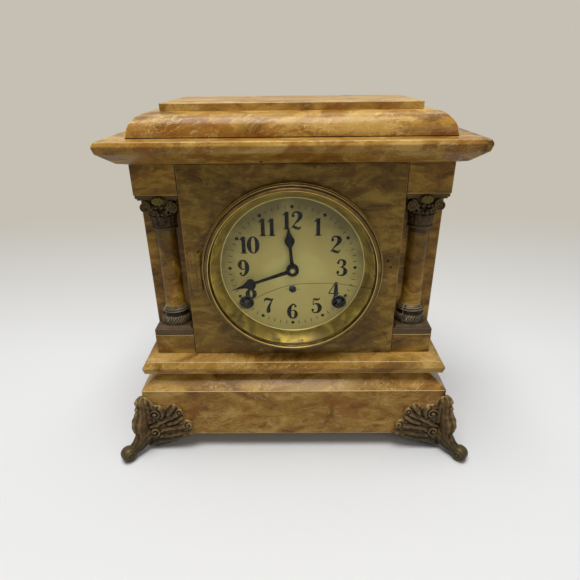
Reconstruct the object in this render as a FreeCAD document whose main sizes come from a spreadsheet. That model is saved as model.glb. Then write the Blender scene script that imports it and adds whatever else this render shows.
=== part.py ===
import FreeCAD, Part
import math
import os
import Sketcher

# A column-front mantel clock, about 320 mm high, with a hinged brass bezel and an eight-day
# striking movement. +X is to the viewer's right, +Y goes to the back, +Z is up. The origin is
# on the table, under the middle of the plinth.

V = FreeCAD.Vector
FRONT = V(0, -1, 0)
BACK = V(0, 1, 0)
UP = V(0, 0, 1)
FULL_TURN = 360.0

doc = FreeCAD.newDocument("MantelClock")
sheet = doc.addObject("Spreadsheet::Sheet", "Sizes")

# Driving sizes in millimetres, teeth and pins as counts, angles in degrees
SIZES = (
    ("block_width", 36.2),
    ("rear_room", 52.3),
    ("board", 9.0),
    ("overrun", 2.0),
    ("running_gap", 0.05),
    ("seat_gap", 0.3),
    ("foot_lift", 17.3),
    ("plinth_overhang", 15.8),
    ("plinth_face", 51.2),
    ("plinth_bevel_run", 20.1),
    ("plinth_bevel_rise", 15.8),
    ("well_side_wall", 18.7),
    ("well_front", 30.0),
    ("well_rear_wall", 12.0),
    ("bottom_board", 6.0),
    ("moulding_height", 16.1),
    ("moulding_foot_overhang", 11.4),
    ("moulding_foot_rise", 1.2),
    ("moulding_nose_overhang", 12.8),
    ("moulding_nose_rise", 7.0),
    ("moulding_shoulder_overhang", 9.6),
    ("moulding_shoulder_rise", 12.6),
    ("panel_margin", 14.0),
    ("panel_proud", 1.0),
    ("recess_depth", 17.5),
    ("pedestal_height", 19.8),
    ("frieze_height", 24.8),
    ("cornice_height", 18.8),
    ("cornice_top_overhang", 17.2),
    ("cornice_nose_overhang", 18.8),
    ("cornice_nose_rise", 15.6),
    ("cornice_lip_overhang", 17.5),
    ("cornice_lip_rise", 10.4),
    ("cornice_foot_overhang", 6.9),
    ("cornice_foot_rise", 1.9),
    ("mould_setback", 0.9),
    ("mould_height", 17.6),
    ("mould_radius", 17.0),
    ("plaque_side_set", 23.3),
    ("plaque_height", 5.9),
    ("plaque_rear_set", 23.5),
    ("dial_foot", 7.6),
    ("dial_head", 13.0),
    ("panel_hole_gap", 1.0),
    ("bezel_rim", 6.5),
    ("bezel_proud", 12.0),
    ("glass_thick", 1.8),
    ("glass_set", 3.0),
    ("reflector_width", 8.0),
    ("reflector_thick", 0.8),
    ("dial_recess", 5.5),
    ("dial_lap", 0.5),
    ("dial_thick", 0.6),
    ("winding_reach", 52.975),
    ("winding_angle", 38.947),
    ("winding_margin", 9.025),
    ("winding_hole", 5.75),
    ("regulator_drop", 20.4),
    ("regulator_hole", 2.5),
    ("regulator_arbor", 1.3),
    ("hinge_knuckle", 2.1),
    ("hinge_pin", 0.9),
    ("hinge_length", 34.0),
    ("hinge_leaf", 0.8),
    ("hinge_leaf_width", 6.5),
    ("back_hole_set", 10.5),
    ("back_door_lap", 5.0),
    ("back_door_thick", 1.2),
    ("base_plate_height", 6.7),
    ("base_plate_inset", 0.6),
    ("base_torus_radius", 14.4),
    ("base_torus_height", 10.4),
    ("base_scotia_radius", 11.2),
    ("base_ring_radius", 12.8),
    ("base_height", 25.6),
    ("shaft_foot_radius", 9.2),
    ("shaft_head_radius", 8.7),
    ("capital_height", 31.4),
    ("capital_ring_radius", 10.3),
    ("capital_ring_height", 4.5),
    ("capital_bell_radius", 12.4),
    ("capital_neck_radius", 8.6),
    ("volute_radius", 4.4),
    ("volute_set", 1.9),
    ("volute_drop", 10.4),
    ("volute_thick", 3.4),
    ("abacus_height", 4.6),
    ("abacus_front_set", 2.0),
    ("rosette_radius", 4.6),
    ("rosette_drop", 5.6),
    ("foot_reach", 47.0),
    ("foot_top", 60.0),
    ("foot_thick", 4.2),
    ("foot_toe_reach", 18.5),
    ("foot_leg_width", 15.0),
    ("plate_margin", 3.0),
    ("plate_above", 64.0),
    ("plate_below", 66.0),
    ("plate_thick", 1.6),
    ("plate_gap", 36.0),
    ("pillar_radius", 3.5),
    ("pillar_top_across", 53.0),
    ("pillar_top_rise", 55.0),
    ("pillar_foot_across", 57.5),
    ("pillar_foot_drop", 58.5),
    ("arbor_radius", 1.1),
    ("arbor_end", 0.8),
    ("centre_arbor", 1.5),
    ("cannon_wall", 0.9),
    ("winding_arbor", 2.4),
    ("wheel_thick", 1.4),
    ("pinion_length", 3.2),
    ("hub_radius", 2.6),
    ("hub_length", 3.0),
    ("second_inset", 18.7),
    ("second_lift", 19.8),
    ("third_across", 16.0),
    ("third_rise", 20.5),
    ("escape_rise", 38.5),
    ("verge_rise", 57.0),
    ("strike_second_inset", 15.2),
    ("strike_second_lift", 23.3),
    ("pin_wheel_across", 30.0),
    ("pin_wheel_rise", 16.0),
    ("fly_across", 32.0),
    ("fly_rise", 40.0),
    ("hammer_across", 56.5),
    ("hammer_rise", 4.0),
    ("minute_arbor_across", 12.1),
    ("minute_arbor_rise", 7.0),
    ("spring_inner", 6.0),
    ("spring_strip", 0.7),
    ("spring_width", 14.0),
    ("ratchet_radius", 8.0),
    ("escape_radius", 15.4),
    ("pin_ring_radius", 14.0),
    ("fly_radius", 12.0),
    ("fly_length", 10.0),
    ("suspension_rise", 67.0),
    ("pendulum_set", 9.0),
    ("pendulum_length", 128.0),
    ("bob_radius", 20.0),
    ("bob_thick", 8.0),
    ("rod_radius", 0.8),
    ("crutch_rise", 8.0),
    ("gong_rear_set", 14.3),
    ("gong_drop", 68.0),
    ("gong_radius", 44.0),
    ("gong_inner", 9.0),
    ("gong_wire", 3.4),
    ("hammer_head_radius", 4.5),
    ("hammer_head_length", 12.0),
    ("minute_hand_length", 56.0),
    ("hour_hand_length", 41.0),
    ("hand_thick", 0.5),
    ("hand_hub", 5.6),
    ("minute_hand_angle", 250.8),
    ("hour_hand_angle", 355.0),
    ("ratchet_tooth", 1.8),
    ("click_width", 2.4),
    ("click_length", 6.0),
    ("escape_tooth", 1.7),
    ("pallet_clearance", 0.05),
    ("pallet_thick", 0.5),
    ("hand_stack", 7.0),
    ("hand_step", 3.2),
    ("motion_set", 3.6),
    ("hour_wheel_set", 4.0),
    ("gong_post", 7.0),
    ("screw_radius", 1.4),
    ("screw_head", 2.8),
    ("screw_head_height", 1.7),
    ("screw_inset", 8.75),
    ("window_margin", 9.19),
    ("ratchet_teeth", 12),
    ("lift_pins", 6),
    ("great_teeth", 48),
    ("second_teeth", 48),
    ("train_teeth", 60),
    ("pin_wheel_teeth", 54),
    ("escape_teeth", 50),
    ("low_leaves", 8),
    ("high_leaves", 6),
    ("cannon_teeth", 12),
    ("minute_teeth", 36),
    ("minute_leaves", 10),
    ("hour_teeth", 40),
)

# The winding holes set the dial, the dial and the movement set the case; then come the planes
# and heights that several pieces share
DERIVED = (
    ("winding_half_spacing", "=winding_reach * cos(winding_angle)"),
    ("winding_drop", "=winding_reach * sin(winding_angle)"),
    ("second_across", "=winding_half_spacing - second_inset"),
    ("second_drop", "=winding_drop - second_lift"),
    ("strike_second_across", "=winding_half_spacing - strike_second_inset"),
    ("strike_second_drop", "=winding_drop - strike_second_lift"),
    ("sight_radius", "=winding_reach + winding_margin"),
    ("glass_radius", "=sight_radius + reflector_width"),
    ("bezel_radius", "=glass_radius + bezel_rim"),
    ("dial_radius", "=glass_radius + dial_lap"),
    ("panel_hole", "=dial_radius + panel_hole_gap"),
    ("back_hole", "=bezel_radius - back_hole_set"),
    ("back_door", "=back_hole + back_door_lap"),
    ("panel_width", "=2 * (bezel_radius + panel_margin)"),
    ("case_width", "=panel_width + 2 * block_width"),
    ("abacus_width", "=block_width - 2 * base_plate_inset"),
    ("volute_reach", "=abacus_width / 2 - volute_radius - volute_set"),
    ("dial_rise", "=bezel_radius + dial_foot"),
    ("column_zone", "=dial_rise + bezel_radius + dial_head"),
    ("plate_width", "=2 * (pillar_foot_across + pillar_radius + plate_margin)"),
    ("screw_reach", "=sqrt((pillar_top_across - screw_inset)^2 + pillar_top_rise^2)"),
    ("window_radius", "=screw_reach - screw_radius - window_margin"),
    ("case_depth", "=recess_depth + board + plate_gap + 2 * plate_thick + rear_room"),
    ("gong_set", "=rear_room - well_rear_wall - gong_rear_set"),
    ("well_width", "=case_width - 2 * well_side_wall"),
    ("plaque_width", "=case_width - 2 * plaque_side_set"),
    ("panel_y", "=-(case_depth + plinth_overhang) / 2 + plinth_overhang"),
    ("rear_y", "=panel_y + case_depth"),
    ("wall_y", "=panel_y + recess_depth"),
    ("half_case", "=case_width / 2"),
    ("half_panel", "=panel_width / 2"),
    ("plinth_top", "=foot_lift + plinth_face + plinth_bevel_rise"),
    ("floor_z", "=plinth_top + moulding_height"),
    ("cornice_z", "=floor_z + column_zone"),
    ("mould_z", "=cornice_z + cornice_height"),
    ("plaque_z", "=mould_z + mould_height"),
    ("dial_z", "=floor_z + dial_rise"),
    ("dial_y", "=panel_y + dial_recess"),
    ("column_x", "=(half_panel + half_case) / 2"),
    ("column_z", "=floor_z + pedestal_height"),
    ("frieze_z", "=cornice_z - frieze_height"),
    ("plate_y", "=wall_y + board"),
    ("train_y", "=plate_y + plate_thick"),
    ("back_plate_y", "=train_y + plate_gap"),
    ("movement_rear_y", "=back_plate_y + plate_thick"),
    ("hinge_x", "=-(bezel_radius + hinge_knuckle + seat_gap)"),
    ("hinge_y", "=panel_y - hinge_leaf - hinge_knuckle"),
    ("back_hinge_x", "=back_door + hinge_knuckle + seat_gap"),
    ("back_hinge_y", "=rear_y + hinge_leaf + hinge_knuckle"),
)


def fill_sheet():
    row = 0
    for alias, value in SIZES + DERIVED:
        row += 1
        sheet.set("A%d" % row, alias)
        sheet.set("B%d" % row, str(value))
        sheet.setAlias("B%d" % row, alias)
    doc.recompute()


class SheetValues:
    """Reads a size from the spreadsheet by its alias."""

    def __getattr__(self, alias):
        return float(sheet.get(alias))


fill_sheet()
size = SheetValues()
NODES = []


# Helpers for sub-parts

def bind(obj, prop, expression):
    obj.setExpression(prop, expression)


def register(obj, label):
    obj.Label = label
    NODES.append(obj)
    return obj


def feature(label, shape):
    """A sub-part whose form comes from outlines, revolutions and lofts."""
    obj = doc.addObject("Part::Feature", label)
    obj.Shape = shape
    return register(obj, label)


def sawn(name, extents, corner):
    """A box bound to the sheet: its three lengths and its lowest corner."""
    box = doc.addObject("Part::Box", name)
    for prop, expression in zip(("Length", "Width", "Height"), extents):
        bind(box, prop, expression)
    for axis, expression in zip("xyz", corner):
        bind(box, "Placement.Base." + axis, expression)
    return box


def board(label, extents, corner):
    return register(sawn(label, extents, corner), label)


def pair(label, places_x, extents, y, z):
    """Two equal boards, left and right, that share a node."""
    group = doc.addObject("Part::Compound", label)
    group.Links = [sawn(label + side, extents, (x, y, z)) for side, x in zip(("_left", "_right"), places_x)]
    return register(group, label)


def rod(radius, start, direction, length):
    return Part.makeCylinder(radius, length, start, direction)


def box_between(low, high):
    span = high - low
    return Part.makeBox(span.x, span.y, span.z, low)


def polygon_face(points):
    return Part.Face(Part.makePolygon(list(points) + [points[0]]))


def turned(points, centre, axis=FRONT):
    """Revolves an outline of (radius, distance along the axis) pairs, given from the axis side."""
    side = V(1, 0, 0)
    placed = [centre + side * radius + axis * along for radius, along in points]
    return polygon_face(placed).revolve(centre, axis, FULL_TURN)


def on_dial(across, rise, y):
    return V(across, y, size.dial_z + rise)


# Mouldings that run round the front and the two sides

def moulding_prism(outline, along_front):
    """One run of a moulding: the outline of (overhang, height) pairs, carried far enough to mitre."""
    reach = size.case_width + size.case_depth
    if along_front:
        edge = [V(-reach, size.panel_y - over, z) for over, z in outline]
        edge += [V(-reach, size.rear_y, outline[-1][1]), V(-reach, size.rear_y, outline[0][1])]
        return polygon_face(edge).extrude(V(2 * reach, 0, 0))
    right = [V(size.half_case + over, -reach, z) for over, z in outline]
    left = [V(-point.x, point.y, point.z) for point in reversed(right)]
    return polygon_face(right + left).extrude(V(0, 2 * reach, 0))


def mitred_block(outline):
    return moulding_prism(outline, True).common(moulding_prism(outline, False))


def well(low_z, high_z):
    """The opening through plinth and lower moulding, in which the bob and the gong hang."""
    half = size.well_width / 2
    low = V(-half, size.panel_y + size.well_front, low_z - size.overrun)
    high = V(half, size.rear_y - size.well_rear_wall, high_z + size.overrun)
    return box_between(low, high)


def arc_points(centre, radius, start, end, steps):
    """Points of an arc in a plane, from start to end in degrees."""
    points = []
    for step in range(steps + 1):
        angle = math.radians(start + (end - start) * step / steps)
        points.append((centre[0] + radius * math.cos(angle), centre[1] + radius * math.sin(angle)))
    return points


def plinth():
    foot = size.foot_lift
    shoulder = foot + size.plinth_face
    inner = size.plinth_overhang - size.plinth_bevel_run
    outline = [(size.plinth_overhang, foot), (size.plinth_overhang, shoulder), (inner, size.plinth_top)]
    feature("plinth", mitred_block(outline).cut(well(foot, size.plinth_top)))


def lower_moulding():
    low = size.plinth_top
    outline = [
        (size.plinth_overhang - size.plinth_bevel_run, low),
        (size.moulding_foot_overhang, low + size.moulding_foot_rise),
        (size.moulding_nose_overhang, low + size.moulding_nose_rise),
        (size.moulding_shoulder_overhang, low + size.moulding_shoulder_rise),
        (0, low + size.moulding_height),
    ]
    feature("lower_moulding", mitred_block(outline).cut(well(low, size.floor_z)))


def cornice():
    low = size.cornice_z
    outline = [
        (0, low),
        (size.cornice_foot_overhang, low + size.cornice_foot_rise),
        (size.cornice_lip_overhang, low + size.cornice_lip_rise),
        (size.cornice_nose_overhang, low + size.cornice_nose_rise),
        (size.cornice_top_overhang, size.mould_z),
    ]
    feature("cornice", mitred_block(outline))


MOULD_ARC_STEPS = 8


def top_mould():
    low = size.mould_z
    centre = (-size.mould_setback - size.mould_radius, size.plaque_z - size.mould_radius)
    outline = [(-size.mould_setback, low)] + arc_points(centre, size.mould_radius, 0, 90, MOULD_ARC_STEPS)
    feature("top_mould", mitred_block(outline))


def boards():
    """The flat boards of the carcass, each a plain sawn piece."""
    board(
        "top_plaque",
        ("Sizes.plaque_width", "Sizes.case_depth - Sizes.plaque_rear_set", "Sizes.plaque_height"),
        ("-Sizes.plaque_width / 2", "Sizes.panel_y + Sizes.plaque_rear_set", "Sizes.plaque_z"),
    )
    board(
        "bottom_board",
        ("Sizes.well_width", "Sizes.case_depth - Sizes.well_front - Sizes.well_rear_wall",
            "Sizes.bottom_board"),
        ("-Sizes.well_width / 2", "Sizes.panel_y + Sizes.well_front", "Sizes.foot_lift"),
    )
    pair(
        "case_sides", ("-Sizes.half_case", "Sizes.half_case - Sizes.board"),
        ("Sizes.board", "Sizes.rear_y - Sizes.wall_y - Sizes.board", "Sizes.column_zone"),
        "Sizes.wall_y + Sizes.board", "Sizes.floor_z",
    )
    block_places = ("-Sizes.half_case", "Sizes.half_panel")
    block_depth = "Sizes.recess_depth - Sizes.panel_proud"
    block_y = "Sizes.panel_y + Sizes.panel_proud"
    pair(
        "pedestals", block_places, ("Sizes.block_width", block_depth, "Sizes.pedestal_height"),
        block_y, "Sizes.floor_z",
    )
    pair(
        "frieze_blocks", block_places, ("Sizes.block_width", block_depth, "Sizes.frieze_height"),
        block_y, "Sizes.frieze_z",
    )


# Boards and plates with round holes, all drawn from the dial's centre

def dimension(sketch, kind, first, second, expression):
    """Adds a distance between two sketch points and binds it to the sheet."""
    index = sketch.addConstraint(Sketcher.Constraint(kind, first[0], first[1], second[0], second[1], 1.0))
    sketch.setExpression("Constraints[%d]" % index, expression)


def sketched_plate(label, half_width, below, above, thickness, front, holes):
    """A padded sketch: a rectangle about the dial's centre, with holes of (x sign, x, z sign, z, radius)."""
    body = doc.addObject("PartDesign::Body", label + "_body")
    sketch = body.newObject("Sketcher::SketchObject", label + "_outline")
    plane = [item for item in body.Origin.OriginFeatures if item.Role == "XZ_Plane"][0]
    sketch.AttachmentSupport = [(plane, "")]
    sketch.MapMode = "FlatFace"
    origin = (-1, 1)
    w, b, a = size.plate_width, size.plate_below, size.plate_above
    corners = [V(-w, -b, 0), V(w, -b, 0), V(w, a, 0), V(-w, a, 0)]
    for index in range(4):
        sketch.addGeometry(Part.LineSegment(corners[index], corners[(index + 1) % 4]), False)
    for index in range(4):
        sketch.addConstraint(Sketcher.Constraint("Coincident", index, 2, (index + 1) % 4, 1))
    for index, kind in ((0, "Horizontal"), (1, "Vertical"), (2, "Horizontal"), (3, "Vertical")):
        sketch.addConstraint(Sketcher.Constraint(kind, index))
    dimension(sketch, "DistanceX", (0, 1), origin, half_width)
    dimension(sketch, "DistanceX", origin, (1, 1), half_width)
    dimension(sketch, "DistanceY", (0, 1), origin, below)
    dimension(sketch, "DistanceY", origin, (2, 1), above)
    for x_sign, x, z_sign, z, radius in holes:
        start = V(x_sign * size.pillar_foot_across, z_sign * size.pillar_foot_drop, 0)
        circle = sketch.addGeometry(Part.Circle(start, UP, size.pillar_radius), False)
        centre = (circle, 3)
        if x_sign == 0:
            sketch.addConstraint(Sketcher.Constraint("PointOnObject", circle, 3, -2))
        elif x_sign > 0:
            dimension(sketch, "DistanceX", origin, centre, x)
        else:
            dimension(sketch, "DistanceX", centre, origin, x)
        if z_sign == 0:
            sketch.addConstraint(Sketcher.Constraint("PointOnObject", circle, 3, -1))
        elif z_sign > 0:
            dimension(sketch, "DistanceY", origin, centre, z)
        else:
            dimension(sketch, "DistanceY", centre, origin, z)
        index = sketch.addConstraint(Sketcher.Constraint("Radius", circle, size.pillar_radius))
        sketch.setExpression("Constraints[%d]" % index, radius)
    pad = body.newObject("PartDesign::Pad", label + "_pad")
    pad.Profile = sketch
    bind(pad, "Length", thickness)
    body.Tip = pad
    bind(body, "Placement.Base.y", front + " + " + thickness)
    bind(body, "Placement.Base.z", "Sizes.dial_z")
    return body


def screw_holes():
    """Four holes for the screws that hold the movement to the inner front board."""
    radius = "Sizes.screw_radius + Sizes.running_gap"
    holes = []
    for x_sign in (-1, 1):
        top_across = "(Sizes.pillar_top_across - Sizes.screw_inset)"
        foot_across = "(Sizes.pillar_foot_across - Sizes.screw_inset)"
        holes.append((x_sign, top_across, 1, "Sizes.pillar_top_rise", radius))
        holes.append((x_sign, foot_across, -1, "Sizes.pillar_foot_drop", radius))
    return holes


def holed_boards():
    heights = ("Sizes.dial_rise", "Sizes.column_zone - Sizes.dial_rise")
    for label, half_width, thickness, front, radius, more_holes in (
        ("front_panel", "Sizes.half_panel", "Sizes.recess_depth", "Sizes.panel_y", "Sizes.panel_hole", []),
        ("inner_front_board", "Sizes.half_case", "Sizes.board", "Sizes.wall_y",
         "Sizes.window_radius", screw_holes()),
        ("back_board", "(Sizes.half_case - Sizes.board)", "Sizes.board", "Sizes.rear_y - Sizes.board",
         "Sizes.back_hole", []),
    ):
        holes = [(0, "", 0, "", radius)] + more_holes
        register(sketched_plate(label, half_width, *heights, thickness, front, holes), label)


def train_holes():
    """Pivot holes that both movement plates have."""
    pivot = "Sizes.arbor_radius + Sizes.running_gap"
    centre = "Sizes.centre_arbor + Sizes.running_gap"
    winding = "Sizes.winding_arbor + Sizes.running_gap"
    return [
        (0, "", 0, "", centre),
        (1, "Sizes.winding_half_spacing", -1, "Sizes.winding_drop", winding),
        (-1, "Sizes.winding_half_spacing", -1, "Sizes.winding_drop", winding),
        (1, "Sizes.second_across", -1, "Sizes.second_drop", pivot),
        (1, "Sizes.third_across", 1, "Sizes.third_rise", pivot),
        (0, "", 1, "Sizes.escape_rise", pivot),
        (0, "", 1, "Sizes.verge_rise", pivot),
        (-1, "Sizes.strike_second_across", -1, "Sizes.strike_second_drop", pivot),
        (-1, "Sizes.pin_wheel_across", 1, "Sizes.pin_wheel_rise", pivot),
        (-1, "Sizes.fly_across", 1, "Sizes.fly_rise", pivot),
        (-1, "Sizes.hammer_across", 1, "Sizes.hammer_rise", pivot),
    ]


def movement_plates():
    front_only = [
        (0, "", -1, "Sizes.regulator_drop", "Sizes.regulator_arbor + Sizes.running_gap"),
        (1, "Sizes.minute_arbor_across", 1, "Sizes.minute_arbor_rise",
            "Sizes.arbor_radius + Sizes.running_gap"),
    ]
    outline = ("Sizes.plate_width / 2", "Sizes.plate_below", "Sizes.plate_above", "Sizes.plate_thick")
    holes = train_holes() + front_only + screw_holes()
    register(sketched_plate("front_plate", *outline, "Sizes.plate_y", holes), "front_plate")
    plate = sketched_plate("back_plate_sheet", *outline, "Sizes.back_plate_y", train_holes())
    cock = doc.addObject("Part::Feature", "suspension_cock")
    cock.Shape = suspension_cock()
    joined = doc.addObject("Part::Fuse", "back_plate")
    joined.Base = plate
    joined.Tool = cock
    register(joined, "back_plate")
    shapes = []
    for side in (-1, 1):
        for across, rise in ((size.pillar_top_across, size.pillar_top_rise),
                             (size.pillar_foot_across, -size.pillar_foot_drop)):
            start = on_dial(side * across, rise, size.train_y)
            shapes.append(rod(size.pillar_radius, start, BACK, size.plate_gap))
    feature("plate_pillars", Part.makeCompound(shapes))


# Feet: a leaf on each face of the plinth's corner, and a leg that ends in a scrolled toe

# Each row is a cusp and the bulge of the arc to the next one, as a share of its chord
WING_SHARES = (
    (0.0, 0.97, 0.10), (0.13, 0.99, 0.25), (0.19, 0.85, 0.45), (0.39, 0.66, -0.20), (0.70, 0.73, 0.50),
    (0.87, 0.77, 0.10), (0.77, 0.51, 0.28), (1.0, 0.42, 0.10), (0.97, 0.37, 0.35), (0.93, 0.25, 0.15),
    (0.59, 0.22, 0.12), (0.23, 0.14, 0.0), (0.0, 0.14, 0.0),
)
LEG_SHARES = (
    (-0.60, 0.12, 0.0), (-0.60, 0.72, 0.0), (0.06, 1.07, 0.0), (0.18, 1.02, 0.40), (0.18, 0.88, 0.30),
    (0.28, 0.73, 0.24), (0.45, 0.37, -0.18), (0.86, 0.235, 0.45), (0.95, 0.0, 0.0), (0.76, 0.0, -0.10),
    (0.0, 0.14, 0.0),
)
# Half widths of the leg, seen along the diagonal, at shares of its height
LEG_WIDTH_SHARES = ((-0.06, 0.22), (0.14, 0.36), (0.27, 0.31), (0.50, 0.49), (0.78, 0.45), (1.12, 0.26))


def cusped_wire(rows, to_point, facing):
    """Joins cusps by arcs that bulge to the left of the way, as seen from where the plane faces."""
    edges = []
    for row, following in zip(rows, rows[1:] + rows[:1]):
        start = to_point(row[0], row[1])
        end = to_point(following[0], following[1])
        if row[2] == 0:
            edges.append(Part.makeLine(start, end))
            continue
        crown = (start + end) * 0.5 + facing.cross(end - start) * row[2]
        edges.append(Part.Arc(start, crown, end).toShape())
    return Part.Wire(edges)


def in_leg_plane(across_share, rise_share):
    diagonal = V(1, -1, 0) * size.foot_toe_reach
    return diagonal * across_share + UP * (rise_share * size.foot_top)


def foot_shape():
    """A foot at the front right corner, with the plinth's corner at zero and both faces going back."""
    thick = size.foot_thick

    def on_front(u, w):
        return V(-u * size.foot_reach, -thick, w * size.foot_top)

    def on_side(u, w):
        return V(thick, u * size.foot_reach, w * size.foot_top)

    front_wing = Part.Face(cusped_wire(WING_SHARES, on_front, BACK)).extrude(V(0, thick, 0))
    side_wing = Part.Face(cusped_wire(WING_SHARES, on_side, V(1, 0, 0))).extrude(V(-thick, 0, 0))
    low = WING_SHARES[-1][1] * size.foot_top
    corner = box_between(V(0, -thick, low), V(thick, 0, size.foot_top))
    sideways = V(1, 1, 0).normalize()
    across = sideways * size.foot_leg_width
    side_view = Part.Face(cusped_wire(LEG_SHARES, in_leg_plane, sideways * -1))
    side_view = side_view.translated(across * -0.5).extrude(across)
    curve = Part.BSplineCurve()
    curve.interpolate([across * half + UP * (w * size.foot_top) for w, half in LEG_WIDTH_SHARES])
    right = curve.toShape()
    left = right.mirror(V(0, 0, 0), across)
    ends = [Part.makeLine(left.valueAt(left.FirstParameter), right.valueAt(right.FirstParameter)),
            Part.makeLine(right.valueAt(right.LastParameter), left.valueAt(left.LastParameter))]
    outline = Part.Wire(Part.__sortEdges__([left, right] + ends))
    depth = V(1, -1, 0) * size.foot_reach
    front_view = Part.Face(outline).translated(depth * -1).extrude(depth * 2)
    leg = side_view.common(front_view)
    plinth_corner = box_between(
        V(-size.foot_reach, 0, size.foot_lift), V(0, size.foot_reach, size.foot_top + size.foot_reach))
    return front_wing.fuse([side_wing, corner, leg]).cut(plinth_corner).removeSplitter()


def feet():
    pattern = foot_shape()
    corner = V(size.half_case + size.plinth_overhang, size.panel_y - size.plinth_overhang, 0)
    right = pattern.translated(corner)
    left = right.mirror(V(0, 0, 0), V(1, 0, 0))
    feature("foot_front_right", right)
    feature("foot_front_left", left)
    feature("foot_rear_right", right.mirror(V(0, 0, 0), V(0, 1, 0)))
    feature("foot_rear_left", left.mirror(V(0, 0, 0), V(0, 1, 0)))


def case():
    plinth()
    lower_moulding()
    cornice()
    top_mould()
    boards()
    holed_boards()
    feet()


# Half columns: cast base and capital against the recess wall, with a turned shaft between

def in_recess(shape, side):
    """Keeps the half of a column piece that stands in front of the recess wall, on one side."""
    reach = size.recess_depth + size.base_plate_height
    low = V(-size.block_width, -reach, size.floor_z)
    high = V(size.block_width, 0, size.cornice_z)
    half = shape.common(box_between(low, high))
    return half.translated(V(side * size.column_x, size.wall_y, 0))


def column_bases():
    foot = size.column_z
    half = size.block_width / 2 - size.base_plate_inset
    plate_top = foot + size.base_plate_height
    torus_top = plate_top + size.base_torus_height
    ring_low = torus_top + (size.base_height - size.base_plate_height - size.base_torus_height) / 2
    ring_top = foot + size.base_height
    plate_front = size.base_plate_inset - size.recess_depth
    plate = box_between(V(-half, plate_front, foot), V(half, size.recess_depth, plate_top))
    bulge = arc_points(
        (size.base_torus_radius - size.base_torus_height / 2, plate_top + size.base_torus_height / 2),
        size.base_torus_height / 2, -90, 90, MOULD_ARC_STEPS,
    )
    ring_rise = (ring_top - ring_low) / 2
    outline = [(0, plate_top)] + bulge + [
        (size.base_scotia_radius, torus_top),
        (size.base_scotia_radius, ring_low),
        (size.base_ring_radius, ring_low + ring_rise / 2),
        (size.base_ring_radius, ring_low + ring_rise),
        (size.shaft_foot_radius, ring_top),
        (0, ring_top),
    ]
    body = turned(outline, V(0, 0, 0), UP).fuse(plate)
    for side, name in ((-1, "left"), (1, "right")):
        feature("column_base_" + name, in_recess(body, side).removeSplitter())


def column_shafts():
    foot = size.column_z + size.base_height
    top = size.frieze_z - size.capital_height
    body = Part.makeCone(size.shaft_foot_radius, size.shaft_head_radius, top - foot, V(0, 0, foot))
    for side, name in ((-1, "left"), (1, "right")):
        feature("column_shaft_" + name, in_recess(body, side))


ABACUS_HOLLOW_SHARE = 0.16
BELL_RISE_SHARE = 0.62


def column_capitals():
    foot = size.frieze_z - size.capital_height
    top = size.frieze_z
    ring_top = foot + size.capital_ring_height
    abacus_low = top - size.abacus_height
    bell_rise = ring_top + (abacus_low - ring_top) * BELL_RISE_SHARE
    bell = turned([
        (0, foot), (size.capital_ring_radius, foot), (size.capital_ring_radius, ring_top),
        (size.capital_neck_radius, ring_top), (size.capital_bell_radius, bell_rise),
        (size.capital_bell_radius, abacus_low), (0, abacus_low),
    ], V(0, 0, 0), UP)
    half = size.abacus_width / 2
    front = size.abacus_front_set - size.recess_depth
    hollow = size.abacus_width * ABACUS_HOLLOW_SHARE
    plan = [V(-half, 0, abacus_low), V(-half, front, abacus_low), V(-half + hollow, front, abacus_low),
            V(0, front + hollow / 2, abacus_low), V(half - hollow, front, abacus_low),
            V(half, front, abacus_low),
            V(half, 0, abacus_low)]
    abacus = polygon_face(plan).extrude(UP * size.abacus_height)
    pieces = [abacus]
    for side in (-1, 1):
        centre = V(side * size.volute_reach, front, top - size.volute_drop)
        pieces.append(rod(size.volute_radius, centre, BACK, size.volute_thick))
        neck = box_between(
            V(side * size.volute_reach - size.volute_radius / 2, front + size.volute_thick / 2, centre.z),
            V(side * size.volute_reach + size.volute_radius / 2, front + size.recess_depth / 2, abacus_low),
        )
        pieces.append(neck)
    rosette = V(0, front, top - size.rosette_drop)
    pieces.append(rod(size.rosette_radius, rosette, BACK, size.recess_depth / 2))
    body = bell.fuse(pieces)
    for side, name in ((-1, "left"), (1, "right")):
        feature("column_capital_" + name, in_recess(body, side).removeSplitter())


# Bezel door: reeded ring, glass behind its lip, and the broad reflector that clamps the glass

RIB_SHARES = ((0.0, 0.0), (0.0, 0.42), (0.10, 0.58), (0.20, 0.56), (0.28, 0.72), (0.40, 0.84), (0.52, 0.80),
              (0.60, 0.92), (0.74, 1.0), (0.88, 0.94))
REFLECTOR_SHARES = ((0.0, 0.0), (0.30, 0.10), (0.62, 0.34), (0.86, 0.68), (1.0, 1.0))


def bezel_front():
    return size.panel_y - size.bezel_proud


def bezel_ring():
    depth = size.bezel_proud - size.seat_gap
    rear = size.panel_y - size.seat_gap
    inner = size.glass_radius - size.overrun
    width = size.bezel_radius - inner
    outline = [(size.bezel_radius - u * width, w * depth) for u, w in RIB_SHARES]
    lip = depth - size.glass_set
    outline += [(inner, lip + size.running_gap * 2), (size.glass_radius, lip), (size.glass_radius, 0)]
    ring = turned(outline, on_dial(0, 0, rear))
    feature("bezel_ring", ring.fuse(bezel_hinge()).removeSplitter())


def bezel_glass():
    rear = bezel_front() + size.glass_set + size.glass_thick
    feature("bezel_glass", rod(size.glass_radius, on_dial(0, 0, rear), FRONT, size.glass_thick))


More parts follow.
